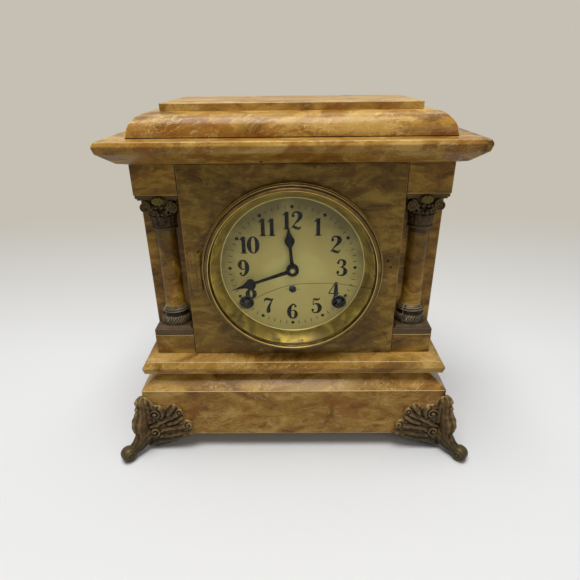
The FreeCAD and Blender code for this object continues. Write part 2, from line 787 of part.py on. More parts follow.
def reflector():
    """A dished ring from the back of the glass down to the dial."""
    front = bezel_front() + size.glass_set + size.glass_thick
    rear = size.dial_y - size.seat_gap
    depth = rear - front
    width = size.glass_radius - size.overrun - size.sight_radius
    inner = [(size.glass_radius - size.overrun - u * width, (1 - w) * depth) for u, w in REFLECTOR_SHARES]
    outer = [(radius + size.reflector_thick, along) for radius, along in reversed(inner)]
    outer[-1] = (size.glass_radius, depth)
    outer[0] = (size.sight_radius + size.reflector_thick, 0)
    feature("bezel_reflector", turned(inner + outer, on_dial(0, 0, rear)))


def knuckles(x, y, low, length, share_low, share_high, bore):
    start = V(x, y, low + length * share_low)
    tube = rod(size.hinge_knuckle, start, UP, length * (share_high - share_low))
    return tube.cut(rod(bore, start, UP, length)) if bore else tube


KNUCKLE_SHARE = 1 / 3


def hinge(fixed_label, x, y, centre_z, leaf_side, plane_y, leaf_reach, tab):
    """A pinned hinge with a vertical axis. Makes the fixed leaf and returns the moving leaf with its pin."""
    length = size.hinge_length
    low = centre_z - length / 2
    bore = size.hinge_pin + size.running_gap
    gap = size.seat_gap / length
    fixed = knuckles(x, y, low, length, 0, KNUCKLE_SHARE - gap, bore)
    fixed = fixed.fuse(knuckles(x, y, low, length, 2 * KNUCKLE_SHARE + gap, 1, bore))
    leaf_inner = x
    leaf_outer = x + leaf_side * (size.hinge_knuckle + leaf_reach)
    toward = size.hinge_leaf if plane_y > y else -size.hinge_leaf
    leaf = box_between(
        V(min(leaf_inner, leaf_outer), min(plane_y - toward, plane_y), low),
        V(max(leaf_inner, leaf_outer), max(plane_y - toward, plane_y), low + length),
    )
    middle_low = V(x, y, low + length * KNUCKLE_SHARE)
    clear = rod(size.hinge_knuckle + size.seat_gap, middle_low, UP, length * KNUCKLE_SHARE)
    feature(fixed_label, fixed.fuse(leaf.cut(clear)).cut(rod(bore, V(x, y, low), UP, length)))
    middle = knuckles(x, y, low, length, KNUCKLE_SHARE, 2 * KNUCKLE_SHARE, 0)
    pin = rod(size.hinge_pin, V(x, y, low - size.hinge_leaf), UP, length + 2 * size.hinge_leaf)
    return middle.fuse([pin, tab])


def bezel_hinge():
    x = size.hinge_x
    y = size.hinge_y
    third = size.hinge_length * KNUCKLE_SHARE / 2
    tab = box_between(
        V(x, y - size.hinge_leaf, size.dial_z - third),
        V(x + size.hinge_knuckle + size.overrun, y + size.hinge_leaf, size.dial_z + third),
    )
    return hinge("bezel_hinge_leaf", x, y, size.dial_z, -1, size.panel_y, size.hinge_leaf_width, tab)


def back_door():
    """The round sheet-metal door at the back, with its rolled edge, a knob and a hinge."""
    face = size.rear_y + size.seat_gap
    thick = size.back_door_thick
    rim = size.back_door - size.hinge_knuckle
    outline = [(0, 0), (size.back_door, 0), (size.back_door, thick * 2), (rim, thick * 2),
        (rim - thick, thick)]
    outline.append((0, thick))
    disc = turned(outline, on_dial(0, 0, face), BACK)
    knob_x = -size.back_door + 2 * size.hinge_leaf_width
    neck = size.hinge_knuckle
    knob_outline = [(0, 0), (neck, 0), (neck, 2 * thick), (neck * 2, 3 * thick), (neck * 2, 5 * thick),
        (0, 5 * thick)]
    knob = turned(knob_outline, on_dial(knob_x, 0, face), BACK)
    x = size.back_hinge_x
    y = size.back_hinge_y
    third = size.hinge_length * KNUCKLE_SHARE / 2
    tab = box_between(
        V(x - size.hinge_knuckle - size.overrun * 2, y - size.hinge_leaf, size.dial_z - third),
        V(x, y + size.hinge_leaf, size.dial_z + third),
    )
    moving = hinge("back_hinge_leaf", x, y, size.dial_z, 1, size.rear_y, size.hinge_leaf_width, tab)
    feature("back_door", disc.fuse([knob, moving]).removeSplitter())


def dial():
    """The painted dial: a shallow pan that stands on the inner front board."""
    depth = size.wall_y - size.dial_y
    rim = rod(size.dial_radius, on_dial(0, 0, size.wall_y), FRONT, depth)
    hollow = rod(size.dial_radius - size.reflector_thick, on_dial(0, 0, size.wall_y), FRONT,
        depth - size.dial_thick)
    cuts = [hollow, rod(cannon_outer() + size.cannon_wall * 2, on_dial(0, 0, size.wall_y), FRONT, depth)]
    for side in (-1, 1):
        centre = on_dial(side * size.winding_half_spacing, -size.winding_drop, size.wall_y)
        cuts.append(rod(size.winding_hole, centre, FRONT, depth))
    cuts.append(rod(size.regulator_hole, on_dial(0, -size.regulator_drop, size.wall_y), FRONT, depth))
    feature("dial", rim.cut(cuts))


# Gearing: pitch radii come from the distance between arbors and the tooth counts

TOOTH_DEPTH_SHARE = 1.15
TOOTH_TIP_SHARE = 0.86
TOOTH_ROOT_HALF_SHARE = 0.27
TOOTH_PITCH_HALF_SHARE = 0.21
TOOTH_TIP_HALF_SHARE = 0.07


def distance(first, second):
    return math.hypot(first[0] - second[0], first[1] - second[1])


def pitch_radius(first, second, teeth, mate_teeth):
    return distance(first, second) * teeth / (teeth + mate_teeth)


def wheel_outline(radius, teeth, phase, depth_share=TOOTH_DEPTH_SHARE, tip_share=TOOTH_TIP_SHARE):
    """Corners of a wheel in its own plane. The phase, in teeth, turns it from a tooth at zero degrees."""
    module = 2 * radius / teeth
    rows = (
        (radius - depth_share * module, -TOOTH_ROOT_HALF_SHARE),
        (radius, -TOOTH_PITCH_HALF_SHARE),
        (radius + tip_share * module, -TOOTH_TIP_HALF_SHARE),
        (radius + tip_share * module, TOOTH_TIP_HALF_SHARE),
        (radius, TOOTH_PITCH_HALF_SHARE),
        (radius - depth_share * module, TOOTH_ROOT_HALF_SHARE),
    )
    points = []
    for tooth in range(int(teeth)):
        for reach, share in rows:
            angle = 2 * math.pi * (tooth + phase + share) / teeth
            points.append((reach * math.cos(angle), reach * math.sin(angle)))
    return points


def spur(place, y, thick, radius, teeth, phase, **form):
    points = [on_dial(place[0] + a, place[1] + b, y) for a, b in wheel_outline(radius, teeth, phase, **form)]
    return polygon_face(points).extrude(BACK * thick)


def mesh_phases(driver, follower, driver_teeth, follower_teeth, driver_phase=0.0):
    """The follower's phase that puts a gap opposite the driver's tooth on the line of centres."""
    angle = math.atan2(follower[1] - driver[1], follower[0] - driver[0])
    in_driver = angle * driver_teeth / (2 * math.pi) - driver_phase
    offset = in_driver - round(in_driver)
    back = (angle + math.pi) * follower_teeth / (2 * math.pi)
    return back + offset + 0.5


LEAF_ROOT_SHARE = 1.25
LEAF_TIP_SHARE = 0.55
LEAF_HALF_SHARE = 0.15


def pinion(place, y, length, radius, leaves, phase):
    """A cut pinion with narrow straight leaves."""
    module = 2 * radius / leaves
    root = radius - LEAF_ROOT_SHARE * module
    tip = radius + LEAF_TIP_SHARE * module
    half = LEAF_HALF_SHARE * math.pi * module
    points = []
    for leaf in range(int(leaves)):
        angle = 2 * math.pi * (leaf + phase) / leaves
        out = (math.cos(angle), math.sin(angle))
        side = (-out[1], out[0])
        for reach, across in ((root, -half), (tip, -half / 2), (tip, half / 2), (root, half)):
            a = place[0] + out[0] * reach + side[0] * across
            b = place[1] + out[1] * reach + side[1] * across
            points.append(on_dial(a, b, y))
    return polygon_face(points).extrude(BACK * length)


def arbor(place, radius, start, end):
    return rod(radius, on_dial(place[0], place[1], start), BACK, end - start)


def through_arbor(place):
    """An arbor that pivots in both movement plates."""
    return arbor(place, size.arbor_radius, size.plate_y - size.arbor_end,
        size.movement_rear_y + size.arbor_end)


class Places:
    """Where the arbors stand, as (across, rise) from the dial's centre."""

    def __init__(self):
        self.centre = (0.0, 0.0)
        self.great = (size.winding_half_spacing, -size.winding_drop)
        self.second = (size.second_across, -size.second_drop)
        self.third = (size.third_across, size.third_rise)
        self.escape = (0.0, size.escape_rise)
        self.verge = (0.0, size.verge_rise)
        self.strike_great = (-size.winding_half_spacing, -size.winding_drop)
        self.strike_second = (-size.strike_second_across, -size.strike_second_drop)
        self.pin_wheel = (-size.pin_wheel_across, size.pin_wheel_rise)
        self.fly = (-size.fly_across, size.fly_rise)
        self.hammer = (-size.hammer_across, size.hammer_rise)
        self.minute = (size.minute_arbor_across, size.minute_arbor_rise)


places = Places()

# Depths of the train's layers behind the front plate, as shares of the gap between the plates
SPRING_SHARE = 3 / 36
RATCHET_SHARE = 18 / 36
GREAT_SHARE = 20 / 36
SECOND_SHARE = 26 / 36
STRIKE_SECOND_SHARE = 29.8 / 36
CENTRE_SHARE = 6 / 36
THIRD_SHARE = 12 / 36
PIN_WHEEL_SHARE = 15 / 36
ESCAPE_SHARE = 23 / 36
FLY_SHARE = 22 / 36


def layer(share):
    return size.train_y + size.plate_gap * share


def pinion_start(wheel_share):
    """A pinion is centred on the wheel that it meshes with."""
    return layer(wheel_share) - (size.pinion_length - size.wheel_thick) / 2


def train_pair(wheel_place, pinion_place, teeth, leaves, wheel_phase=0.0):
    wheel_radius = pitch_radius(wheel_place, pinion_place, teeth, leaves)
    pinion_radius = pitch_radius(wheel_place, pinion_place, leaves, teeth)
    pinion_phase = mesh_phases(wheel_place, pinion_place, teeth, leaves, wheel_phase)
    return wheel_radius, pinion_radius, pinion_phase


def hub(place, y):
    start = y - (size.hub_length - size.wheel_thick) / 2
    return arbor(place, size.hub_radius, start, start + size.hub_length)


def great_wheel(label, place, mate):
    radius, _, _ = train_pair(place, mate, size.great_teeth, size.low_leaves)
    y = layer(GREAT_SHARE)
    shape = spur(place, y, size.wheel_thick, radius, size.great_teeth, 0.0)
    bore = size.winding_arbor + size.running_gap
    boss = arbor(place, size.winding_arbor * 2, y, y + size.wheel_thick * 2)
    shape = shape.fuse(boss).cut(arbor(place, bore, y - size.overrun, y + size.hub_length * 2))
    click_x = place[0] - size.ratchet_radius - size.ratchet_tooth
    points = [
        (click_x, place[1] + size.seat_gap), (click_x, place[1] + size.click_length),
        (click_x - size.click_width, place[1] + size.click_length + size.click_width),
        (click_x - size.click_width * 2, place[1] + size.click_length),
        (click_x - size.click_width, place[1] + size.seat_gap),
    ]
    click = polygon_face([on_dial(a, b, layer(RATCHET_SHARE)) for a, b in points])
    click = click.extrude(BACK * (y - layer(RATCHET_SHARE)))
    feature(label, shape.fuse(click).removeSplitter())


RATCHET_FALL_SHARE = 0.15


def winding_arbor(label, place):
    """Ratchet, arbor and squared front end, which the key turns through the dial."""
    square = size.winding_arbor * math.sqrt(2)
    front = size.dial_y + size.overrun
    neck = size.plate_y - size.arbor_end
    body = arbor(place, size.winding_arbor, neck, size.movement_rear_y + size.arbor_end)
    corner = on_dial(place[0] - square / 2, place[1] - square / 2, front)
    square_end = box_between(corner, corner + V(square, neck - front, square))
    teeth = []
    count = int(size.ratchet_teeth)
    root = size.ratchet_radius - size.ratchet_tooth
    for tooth in range(count):
        for reach, share in ((size.ratchet_radius, 0.0), (root, RATCHET_FALL_SHARE)):
            angle = 2 * math.pi * (tooth + share) / count
            across = place[0] + reach * math.cos(angle)
            rise = place[1] + reach * math.sin(angle)
            teeth.append(on_dial(across, rise, layer(RATCHET_SHARE)))
    ratchet = polygon_face(teeth).extrude(BACK * size.wheel_thick)
    feature(label, body.fuse([square_end, ratchet]).removeSplitter())


SPRING_HALF_TURNS = 7


def spiral(centre, inner, outer, end_angle, half_turns, strip, y, depth):
    """A flat coil of half-circle arcs, as the area between two parallel spirals, extruded."""
    step = (outer - inner) / half_turns
    line = V(math.cos(end_angle), 0, math.sin(end_angle))
    square_to = V(-line.z, 0, line.x)
    hub_point = on_dial(centre[0], centre[1], y)
    sign = 1 if half_turns % 2 == 0 else -1
    edges_in = []
    edges_out = []
    ends = []
    for offset, edges in ((-strip / 2, edges_in), (strip / 2, edges_out)):
        along = sign
        start = hub_point + line * (along * (inner + offset))
        for turn in range(half_turns):
            next_reach = inner + step * (turn + 1) + offset
            end = hub_point - line * (along * next_reach)
            middle = (start + end) * 0.5
            radius = (end - start).Length / 2
            top = middle + square_to * (along * radius)
            edges.append(Part.Arc(start, top, end).toShape())
            start = end
            along = -along
        ends.append(start)
    starts = [hub_point + line * (sign * (inner + offset)) for offset in (-strip / 2, strip / 2)]
    closing = [Part.makeLine(starts[0], starts[1]), Part.makeLine(ends[0], ends[1])]
    wire = Part.Wire(Part.__sortEdges__(edges_in + edges_out + closing))
    return Part.Face(wire).extrude(BACK * depth)


def mainspring(label, place, side):
    """A coiled mainspring, whose outer end is held by the lower pillar."""
    pillar = (side * size.pillar_foot_across, -size.pillar_foot_drop)
    outer = distance(place, pillar) - size.pillar_radius - size.spring_strip / 2
    angle = math.atan2(pillar[1] - place[1], pillar[0] - place[0])
    coil = spiral(place, size.spring_inner, outer, angle, SPRING_HALF_TURNS, size.spring_strip,
                  layer(SPRING_SHARE), size.spring_width)
    feature(label, coil)


def plain_wheel(place, share, radius, teeth, phase):
    y = layer(share)
    return spur(place, y, size.wheel_thick, radius, teeth, phase).fuse(hub(place, y))


# Where the root on each side of an escape tooth lies, as shares of the pitch
ESCAPE_FACE_SHARE = 0.10
ESCAPE_BACK_SHARE = -0.42


def escape_disc():
    """The escape wheel's rim: raked teeth with sharp tips."""
    points = []
    count = int(size.escape_teeth)
    root = size.escape_radius - size.escape_tooth
    y = layer(ESCAPE_SHARE)
    for tooth in range(count):
        for reach, share in ((root, ESCAPE_BACK_SHARE), (size.escape_radius, 0.0), (root, ESCAPE_FACE_SHARE)):
            angle = math.pi / 2 + 2 * math.pi * (tooth + share) / count
            across = places.escape[0] + reach * math.cos(angle)
            points.append(on_dial(across, places.escape[1] + reach * math.sin(angle), y))
    return polygon_face(points).extrude(BACK * size.wheel_thick)


def geared_arbor(place, wheel_share, radius, leaves, phase):
    """A pinion with the arbor that carries it, in mesh with the wheel at the given layer."""
    leaf = pinion(place, pinion_start(wheel_share), size.pinion_length, radius, leaves, phase)
    return [through_arbor(place), leaf]


def time_train():
    great_wheel("time_great_wheel", places.great, places.second)
    winding_arbor("time_winding_arbor", places.great)
    mainspring("time_mainspring", places.great, 1)
    _, low_pinion, low_phase = train_pair(places.great, places.second, size.great_teeth, size.low_leaves)
    second_radius, centre_pinion, centre_phase = train_pair(
        places.second, places.centre, size.second_teeth, size.low_leaves)
    shape = plain_wheel(places.second, SECOND_SHARE, second_radius, size.second_teeth, 0.0)
    shape = shape.fuse(geared_arbor(places.second, GREAT_SHARE, low_pinion, size.low_leaves, low_phase))
    feature("time_second_wheel", shape.removeSplitter())

    centre_radius, third_pinion, third_phase = train_pair(
        places.centre, places.third, size.train_teeth, size.high_leaves)
    shape = plain_wheel(places.centre, CENTRE_SHARE, centre_radius, size.train_teeth, 0.0)
    tip = size.dial_y - size.hand_stack - size.arbor_end
    leaf_y = pinion_start(SECOND_SHARE)
    shape = shape.fuse([
        arbor(places.centre, size.centre_arbor, tip, size.movement_rear_y + size.arbor_end),
        pinion(places.centre, leaf_y, size.pinion_length, centre_pinion, size.low_leaves, centre_phase),
    ])
    feature("centre_wheel", shape.removeSplitter())

    third_radius, escape_pinion, escape_phase = train_pair(
        places.third, places.escape, size.train_teeth, size.high_leaves)
    shape = plain_wheel(places.third, THIRD_SHARE, third_radius, size.train_teeth, 0.0)
    shape = shape.fuse(geared_arbor(places.third, CENTRE_SHARE, third_pinion, size.high_leaves, third_phase))
    feature("third_wheel", shape.removeSplitter())

    shape = escape_disc().fuse(hub(places.escape, layer(ESCAPE_SHARE)))
    shape = shape.fuse(geared_arbor(places.escape, THIRD_SHARE, escape_pinion, size.high_leaves,
        escape_phase))
    feature("escape_wheel", shape.removeSplitter())


PALLET_SPAN_TEETH = 7
STRIP_RISE_SHARE = 0.55


def verge():
    """Bent strip with two pallets, on an arbor that carries the crutch behind the back plate."""
    count = size.escape_teeth
    half_angle = math.pi * PALLET_SPAN_TEETH / count
    tip = size.escape_radius + size.pallet_clearance + size.pallet_thick / 2
    x = tip * math.sin(half_angle)
    z = places.escape[1] + tip * math.cos(half_angle)
    top = places.verge[1] - (places.verge[1] - z) * (1 - STRIP_RISE_SHARE)
    y = layer(ESCAPE_SHARE) - (size.pinion_length - size.wheel_thick) / 2
    strip = []
    thick = size.pallet_thick
    outline = [(-x - thick / 2, z), (-x + thick / 2, z), (-x + thick / 2, top - thick),
        (x - thick / 2, top - thick),
               (x - thick / 2, z), (x + thick / 2, z), (x + thick / 2, top), (-x - thick / 2, top)]
    strip.append(polygon_face([on_dial(a, b, y) for a, b in outline]).extrude(BACK * size.pinion_length))
    saddle = box_between(
        on_dial(-size.hub_radius, top - thick / 2, y),
        on_dial(size.hub_radius, places.verge[1], y + size.pinion_length),
    )
    end = size.movement_rear_y + size.pendulum_set - size.rod_radius * 3
    shaft = arbor(places.verge, size.arbor_radius, size.plate_y - size.arbor_end, end)
    prong_gap = size.rod_radius + size.seat_gap
    half = prong_gap + size.rod_radius * 2
    yoke_top = size.crutch_rise + size.rod_radius * 4
    wire = box_between(
        on_dial(-size.rod_radius, yoke_top - size.rod_radius, end - size.rod_radius * 2),
        on_dial(size.rod_radius, places.verge[1], end),
    )
    bar = box_between(on_dial(-half, size.crutch_rise, end - size.rod_radius * 2),
        on_dial(half, yoke_top, end))
    prongs = []
    for side in (-1, 1):
        low = on_dial(min(side * prong_gap, side * half), size.crutch_rise, end)
        high = on_dial(max(side * prong_gap, side * half), yoke_top, end + size.rod_radius * 6)
        prongs.append(box_between(low, high))
    feature("verge", shaft.fuse(strip + [saddle, wire, bar] + prongs).removeSplitter())


SLIT_SHARE = 0.75
SPRING_BLOCK_SHARE = 1.5
ROD_OVERLAP_SHARE = 2.5


def suspension_cock():
    """Bracket on the back plate, slit for the suspension spring, which hangs by its cross block."""
    y = size.movement_rear_y
    pendulum_y = y + size.pendulum_set
    half = size.hub_radius * 2
    low = on_dial(-half, size.suspension_rise - size.hub_radius * 2, y)
    high = on_dial(half, size.suspension_rise, pendulum_y + size.hub_radius)
    slit_half = size.spring_strip / 4 + size.seat_gap
    slit = box_between(
        on_dial(-slit_half, size.suspension_rise - size.hub_radius * 3,
            pendulum_y - size.hub_radius * SLIT_SHARE),
        on_dial(slit_half, size.suspension_rise + size.overrun, pendulum_y + size.hub_radius * 2),
    )
    back_foot = box_between(
        on_dial(-half * 2, places.verge[1] + size.hub_radius, y),
        on_dial(half * 2, size.suspension_rise, y + size.plate_thick),
    )
    return box_between(low, high).cut(slit).fuse(back_foot).removeSplitter()


# The flat crown of the bob, as a share of its radius, and its thickness there
CROWN_SHARE = 0.72
CROWN_THICK_SHARE = 0.86


def pendulum():
    y = size.movement_rear_y + size.pendulum_set
    block_half = size.hub_radius * SPRING_BLOCK_SHARE
    block = box_between(
        on_dial(-block_half, size.suspension_rise + size.seat_gap, y - size.hub_radius / 2),
        on_dial(block_half, size.suspension_rise + size.seat_gap + size.hub_radius, y + size.hub_radius / 2),
    )
    spring_end = size.suspension_rise - size.hub_radius * 5
    strip = box_between(
        on_dial(-size.spring_strip / 4, spring_end, y - size.hub_radius / 2),
        on_dial(size.spring_strip / 4, size.suspension_rise + size.overrun, y + size.hub_radius / 2),
    )
    bob_rise = size.suspension_rise - size.pendulum_length
    nut_rise = bob_rise - size.bob_radius
    length = spring_end - nut_rise + size.hub_radius * ROD_OVERLAP_SHARE
    wire = rod(size.rod_radius, on_dial(0, nut_rise - size.hub_radius * 2, y), UP, length)
    nut = rod(size.hub_radius, on_dial(0, nut_rise - size.hub_radius, y), UP, size.hub_radius)
    feature("pendulum_rod", block.fuse([strip, wire, nut]).removeSplitter())
    half = size.bob_thick / 2
    rim = half / 3
    crown = size.bob_radius * CROWN_SHARE
    crown_half = half * CROWN_THICK_SHARE
    outline = [(0, -half), (crown, -crown_half), (size.bob_radius, -rim), (size.bob_radius, rim),
        (crown, crown_half)]
    lens = turned(outline + [(0, half)], on_dial(0, bob_rise, y))
    bore = rod(size.rod_radius, on_dial(0, nut_rise - size.overrun, y), UP,
        size.bob_radius * 2 + size.overrun * 2)
    feature("pendulum_bob", lens.cut(bore))


# Motion work and hands

def cannon_inner():
    return size.centre_arbor + size.running_gap


def cannon_outer():
    return cannon_inner() + size.cannon_wall


def hour_pipe_outer():
    return cannon_outer() + size.running_gap + size.cannon_wall


def motion_work():
    """Cannon pinion, minute wheel and hour wheel: three to one, then four to one."""
    minute_y = size.plate_y - size.motion_set
    cannon_radius = pitch_radius(places.centre, places.minute, size.cannon_teeth, size.minute_teeth)
    minute_radius = pitch_radius(places.minute, places.centre, size.minute_teeth, size.cannon_teeth)
    leaf_radius = pitch_radius(places.minute, places.centre, size.minute_leaves, size.hour_teeth)
    hour_radius = pitch_radius(places.centre, places.minute, size.hour_teeth, size.minute_leaves)
    tip_y = size.dial_y - size.hand_stack
    cannon_phase = mesh_phases(places.minute, places.centre, size.minute_teeth, size.cannon_teeth)
    hour_phase = mesh_phases(places.minute, places.centre, size.minute_leaves, size.hour_teeth)
    gear = spur(places.centre, minute_y - size.overrun / 4, size.wheel_thick + size.overrun / 2,
        cannon_radius,
                size.cannon_teeth, cannon_phase)
    pipe = arbor(places.centre, cannon_outer(), tip_y, minute_y)
    bore = arbor(places.centre, cannon_inner(), tip_y - size.overrun, size.plate_y)
    feature("cannon_pinion", gear.fuse(pipe).cut(bore).removeSplitter())

    hour_y = minute_y - size.hour_wheel_set
    wheel = spur(places.minute, minute_y, size.wheel_thick, minute_radius, size.minute_teeth, 0.0)
    leaves = spur(places.minute, hour_y - size.overrun / 4, minute_y - hour_y + size.overrun / 4, leaf_radius,
                  size.minute_leaves, 0.0)
    shaft = arbor(places.minute, size.arbor_radius, minute_y, size.train_y + size.arbor_end)
    feature("minute_wheel", wheel.fuse([leaves, shaft]).removeSplitter())

    gear = spur(places.centre, hour_y, size.wheel_thick, hour_radius, size.hour_teeth, hour_phase)
    pipe = arbor(places.centre, hour_pipe_outer(), tip_y + size.hand_step, hour_y)
    bore = arbor(places.centre, cannon_outer() + size.running_gap, tip_y - size.overrun, size.plate_y)
    feature("hour_wheel", gear.fuse(pipe).cut(bore).removeSplitter())


HOUR_HAND_SHARES = ((0.10, 0.030), (0.48, 0.040), (0.535, 0.075), (0.60, 0.105), (0.66, 0.100), (0.73, 0.060),
                    (0.82, 0.030), (1.0, 0.007))
MINUTE_HAND_SHARES = ((0.08, 0.026), (0.60, 0.024), (0.615, 0.060), (0.65, 0.085), (0.70, 0.085),
    (0.745, 0.056),
                      (0.80, 0.034), (0.90, 0.014), (1.0, 0.005))
NUT_SHARE = 0.75


def hand(label, length, shares, angle, bore, y):
    """A pear-and-spear hand: half widths along the hand, mirrored about its centre line."""
    side = [(reach * length, half * length) for reach, half in shares]
    points = [(u, w) for u, w in side] + [(u, -w) for u, w in reversed(side)]
    turn = math.radians(90.0 - angle)
    placed = []
    for u, w in points:
        placed.append(on_dial(u * math.cos(turn) - w * math.sin(turn),
            u * math.sin(turn) + w * math.cos(turn), y))
    blade = polygon_face(placed).extrude(BACK * size.hand_thick)
    boss = arbor(places.centre, size.hand_hub, y, y + size.hand_thick)
    shape = blade.fuse(boss).cut(arbor(places.centre, bore, y - size.overrun, y + size.overrun))
    feature(label, shape.removeSplitter())


def hands():
    tip_y = size.dial_y - size.hand_stack
    minute_y = tip_y + size.hand_thick
    hour_y = tip_y + size.hand_step
    hand("minute_hand", size.minute_hand_length, MINUTE_HAND_SHARES, size.minute_hand_angle,
        cannon_outer(), minute_y)
    hand("hour_hand", size.hour_hand_length, HOUR_HAND_SHARES, size.hour_hand_angle, hour_pipe_outer(),
        hour_y)
    nut = arbor(places.centre, size.hand_hub * NUT_SHARE, minute_y - size.hand_thick * 2, minute_y)
    pipe = arbor(places.centre, cannon_outer(), tip_y, minute_y + size.overrun)
    bore = arbor(places.centre, cannon_inner(), tip_y - size.overrun * 2, minute_y + size.overrun)
    feature("hand_nut", nut.cut([bore, pipe]))


# Strike train, hammer and gong

LIFT_PIN_SHARE = 1.5
COLLAR_SHARE = 1.6


def strike_train():
    great_wheel("strike_great_wheel", places.strike_great, places.strike_second)
    winding_arbor("strike_winding_arbor", places.strike_great)
    mainspring("strike_mainspring", places.strike_great, -1)
    _, low_pinion, low_phase = train_pair(
        places.strike_great, places.strike_second, size.great_teeth, size.low_leaves)
    second_radius, pin_pinion, pin_phase = train_pair(
        places.strike_second, places.pin_wheel, size.second_teeth, size.low_leaves)
    shape = plain_wheel(places.strike_second, STRIKE_SECOND_SHARE, second_radius, size.second_teeth, 0.0)
    shape = shape.fuse(geared_arbor(places.strike_second, GREAT_SHARE, low_pinion, size.low_leaves,
        low_phase))
    feature("strike_second_wheel", shape.removeSplitter())

    pin_radius, fly_pinion, fly_phase = train_pair(
        places.pin_wheel, places.fly, size.pin_wheel_teeth, size.high_leaves)
    y = layer(PIN_WHEEL_SHARE)
    shape = plain_wheel(places.pin_wheel, PIN_WHEEL_SHARE, pin_radius, size.pin_wheel_teeth, 0.0)
    pins = []
    for index in range(int(size.lift_pins)):
        angle = 2 * math.pi * (index + 0.5) / size.lift_pins
        place = (places.pin_wheel[0] + size.pin_ring_radius * math.cos(angle),
                 places.pin_wheel[1] + size.pin_ring_radius * math.sin(angle))
        pins.append(arbor(place, size.rod_radius, y, y + size.pinion_length * LIFT_PIN_SHARE))
    leaf = geared_arbor(places.pin_wheel, STRIKE_SECOND_SHARE, pin_pinion, size.low_leaves, pin_phase)
    shape = shape.fuse(pins + leaf)
    feature("pin_wheel", shape.removeSplitter())

    start = layer(FLY_SHARE)
    blade = box_between(
        on_dial(places.fly[0] - size.fly_radius, places.fly[1] - size.pallet_thick / 2, start),
        on_dial(places.fly[0] + size.fly_radius, places.fly[1] + size.pallet_thick / 2,
            start + size.fly_length),
    )
    collar = arbor(places.fly, size.arbor_radius * COLLAR_SHARE, start, start + size.fly_length)
    leaf = geared_arbor(places.fly, PIN_WHEEL_SHARE, fly_pinion, size.high_leaves, fly_phase)
    shape = blade.fuse([collar] + leaf)
    feature("fly", shape.removeSplitter())


def gong_centre():
    return on_dial(0, -size.gong_drop, size.movement_rear_y + size.gong_set)


def gong_reach():
    """How far the coil stands out at the hammer's side, midway along its last half turn."""
    step = (size.gong_radius - size.gong_inner) / GONG_HALF_TURNS
    return size.gong_radius - step / 2


def hammer():
    """Hammer arbor with its lifting tail, a wire behind the back plate and a round head by the gong."""
    gong = gong_centre()
    wire_y = size.movement_rear_y + size.hub_length
    tail_y = layer(PIN_WHEEL_SHARE) + size.wheel_thick * 2
    shaft = arbor(places.hammer, size.arbor_radius, size.plate_y - size.arbor_end,
        wire_y + size.rod_radius * 2)
    start = on_dial(places.hammer[0], places.hammer[1], tail_y)
    toward_pins = (on_dial(places.pin_wheel[0], places.pin_wheel[1], tail_y) - start).normalize()
    apart = distance(places.hammer, places.pin_wheel)
    reach = apart - size.pin_ring_radius - size.rod_radius - 2 * size.seat_gap
    side = V(-toward_pins.z, 0, toward_pins.x) * size.rod_radius
    end = start + toward_pins * reach
    tail = polygon_face([start - side, end - side, end + side, start + side]).extrude(BACK * size.wheel_thick)
    head_z = gong.z
    wire = rod(size.rod_radius, V(places.hammer[0], wire_y + size.rod_radius, head_z), UP,
               size.dial_z + places.hammer[1] - head_z)
    bend = rod(size.rod_radius, V(places.hammer[0], wire_y + size.rod_radius, head_z), BACK, gong.y - wire_y)
    strike_x = -gong_reach() - size.gong_wire / 2 - size.seat_gap
    head = rod(size.hammer_head_radius, V(strike_x, gong.y, head_z), V(-1, 0, 0), size.hammer_head_length)
    feature("hammer", shaft.fuse([tail, wire, bend, head]).removeSplitter())


GONG_HALF_TURNS = 6
POST_SPREAD_SHARE = 1.6


def gong():
    centre = gong_centre()
    coil = spiral((0.0, -size.gong_drop), size.gong_inner, size.gong_radius, -math.pi / 2, GONG_HALF_TURNS,
                  size.gong_wire, centre.y - size.gong_wire / 2, size.gong_wire)
    feature("gong_coil", coil)
    boss_radius = size.gong_inner - size.gong_wire / 2
    post_y = centre.y + size.gong_wire
    boss = rod(boss_radius, V(0, centre.y - size.gong_wire, centre.z), BACK,
        size.gong_wire * 2 + size.gong_post)
    floor = size.foot_lift + size.bottom_board
    half = size.gong_post
    spread = half * POST_SPREAD_SHARE
    side = [V(-spread, post_y, floor), V(spread, post_y, floor)]
    side += [V(boss_radius, post_y, centre.z), V(-boss_radius, post_y, centre.z)]
    post = polygon_face(side).extrude(BACK * size.gong_post)
    plate_top = floor + half / 2
    plate = box_between(V(-half * 3, post_y - half, floor), V(half * 3, post_y + half, plate_top))
    feature("gong_base", post.fuse([boss, plate]).removeSplitter())


def regulator():
    place = (0.0, -size.regulator_drop)
    square = size.regulator_arbor * math.sqrt(2)
    front = size.dial_y + size.overrun
    corner = on_dial(place[0] - square / 2, place[1] - square / 2, front)
    end = box_between(corner, corner + V(square, size.overrun * 2, square))
    shaft = arbor(place, size.regulator_arbor, front + size.overrun, size.train_y + size.overrun)
    collar = arbor(place, size.hub_radius, size.train_y + size.seat_gap, size.train_y + size.overrun)
    feature("regulator_arbor", end.fuse([shaft, collar]).removeSplitter())


def movement_screws():
    """Screws from behind the front plate into the inner front board."""
    pieces = []
    length = size.plate_thick + size.board - size.overrun
    for side in (-1, 1):
        for across, rise in ((size.pillar_top_across, size.pillar_top_rise),
                             (size.pillar_foot_across, -size.pillar_foot_drop)):
            start = on_dial(side * (across - size.screw_inset), rise, size.train_y)
            head = rod(size.screw_head, start, BACK, size.screw_head_height)
            pieces.append(head.fuse(rod(size.screw_radius, start, FRONT, length)))
    feature("movement_screws", Part.makeCompound(pieces))


def movement():
    movement_plates()
    time_train()
    verge()
    pendulum()
    motion_work()
    hands()
    strike_train()
    hammer()
    gong()
    regulator()
    movement_screws()


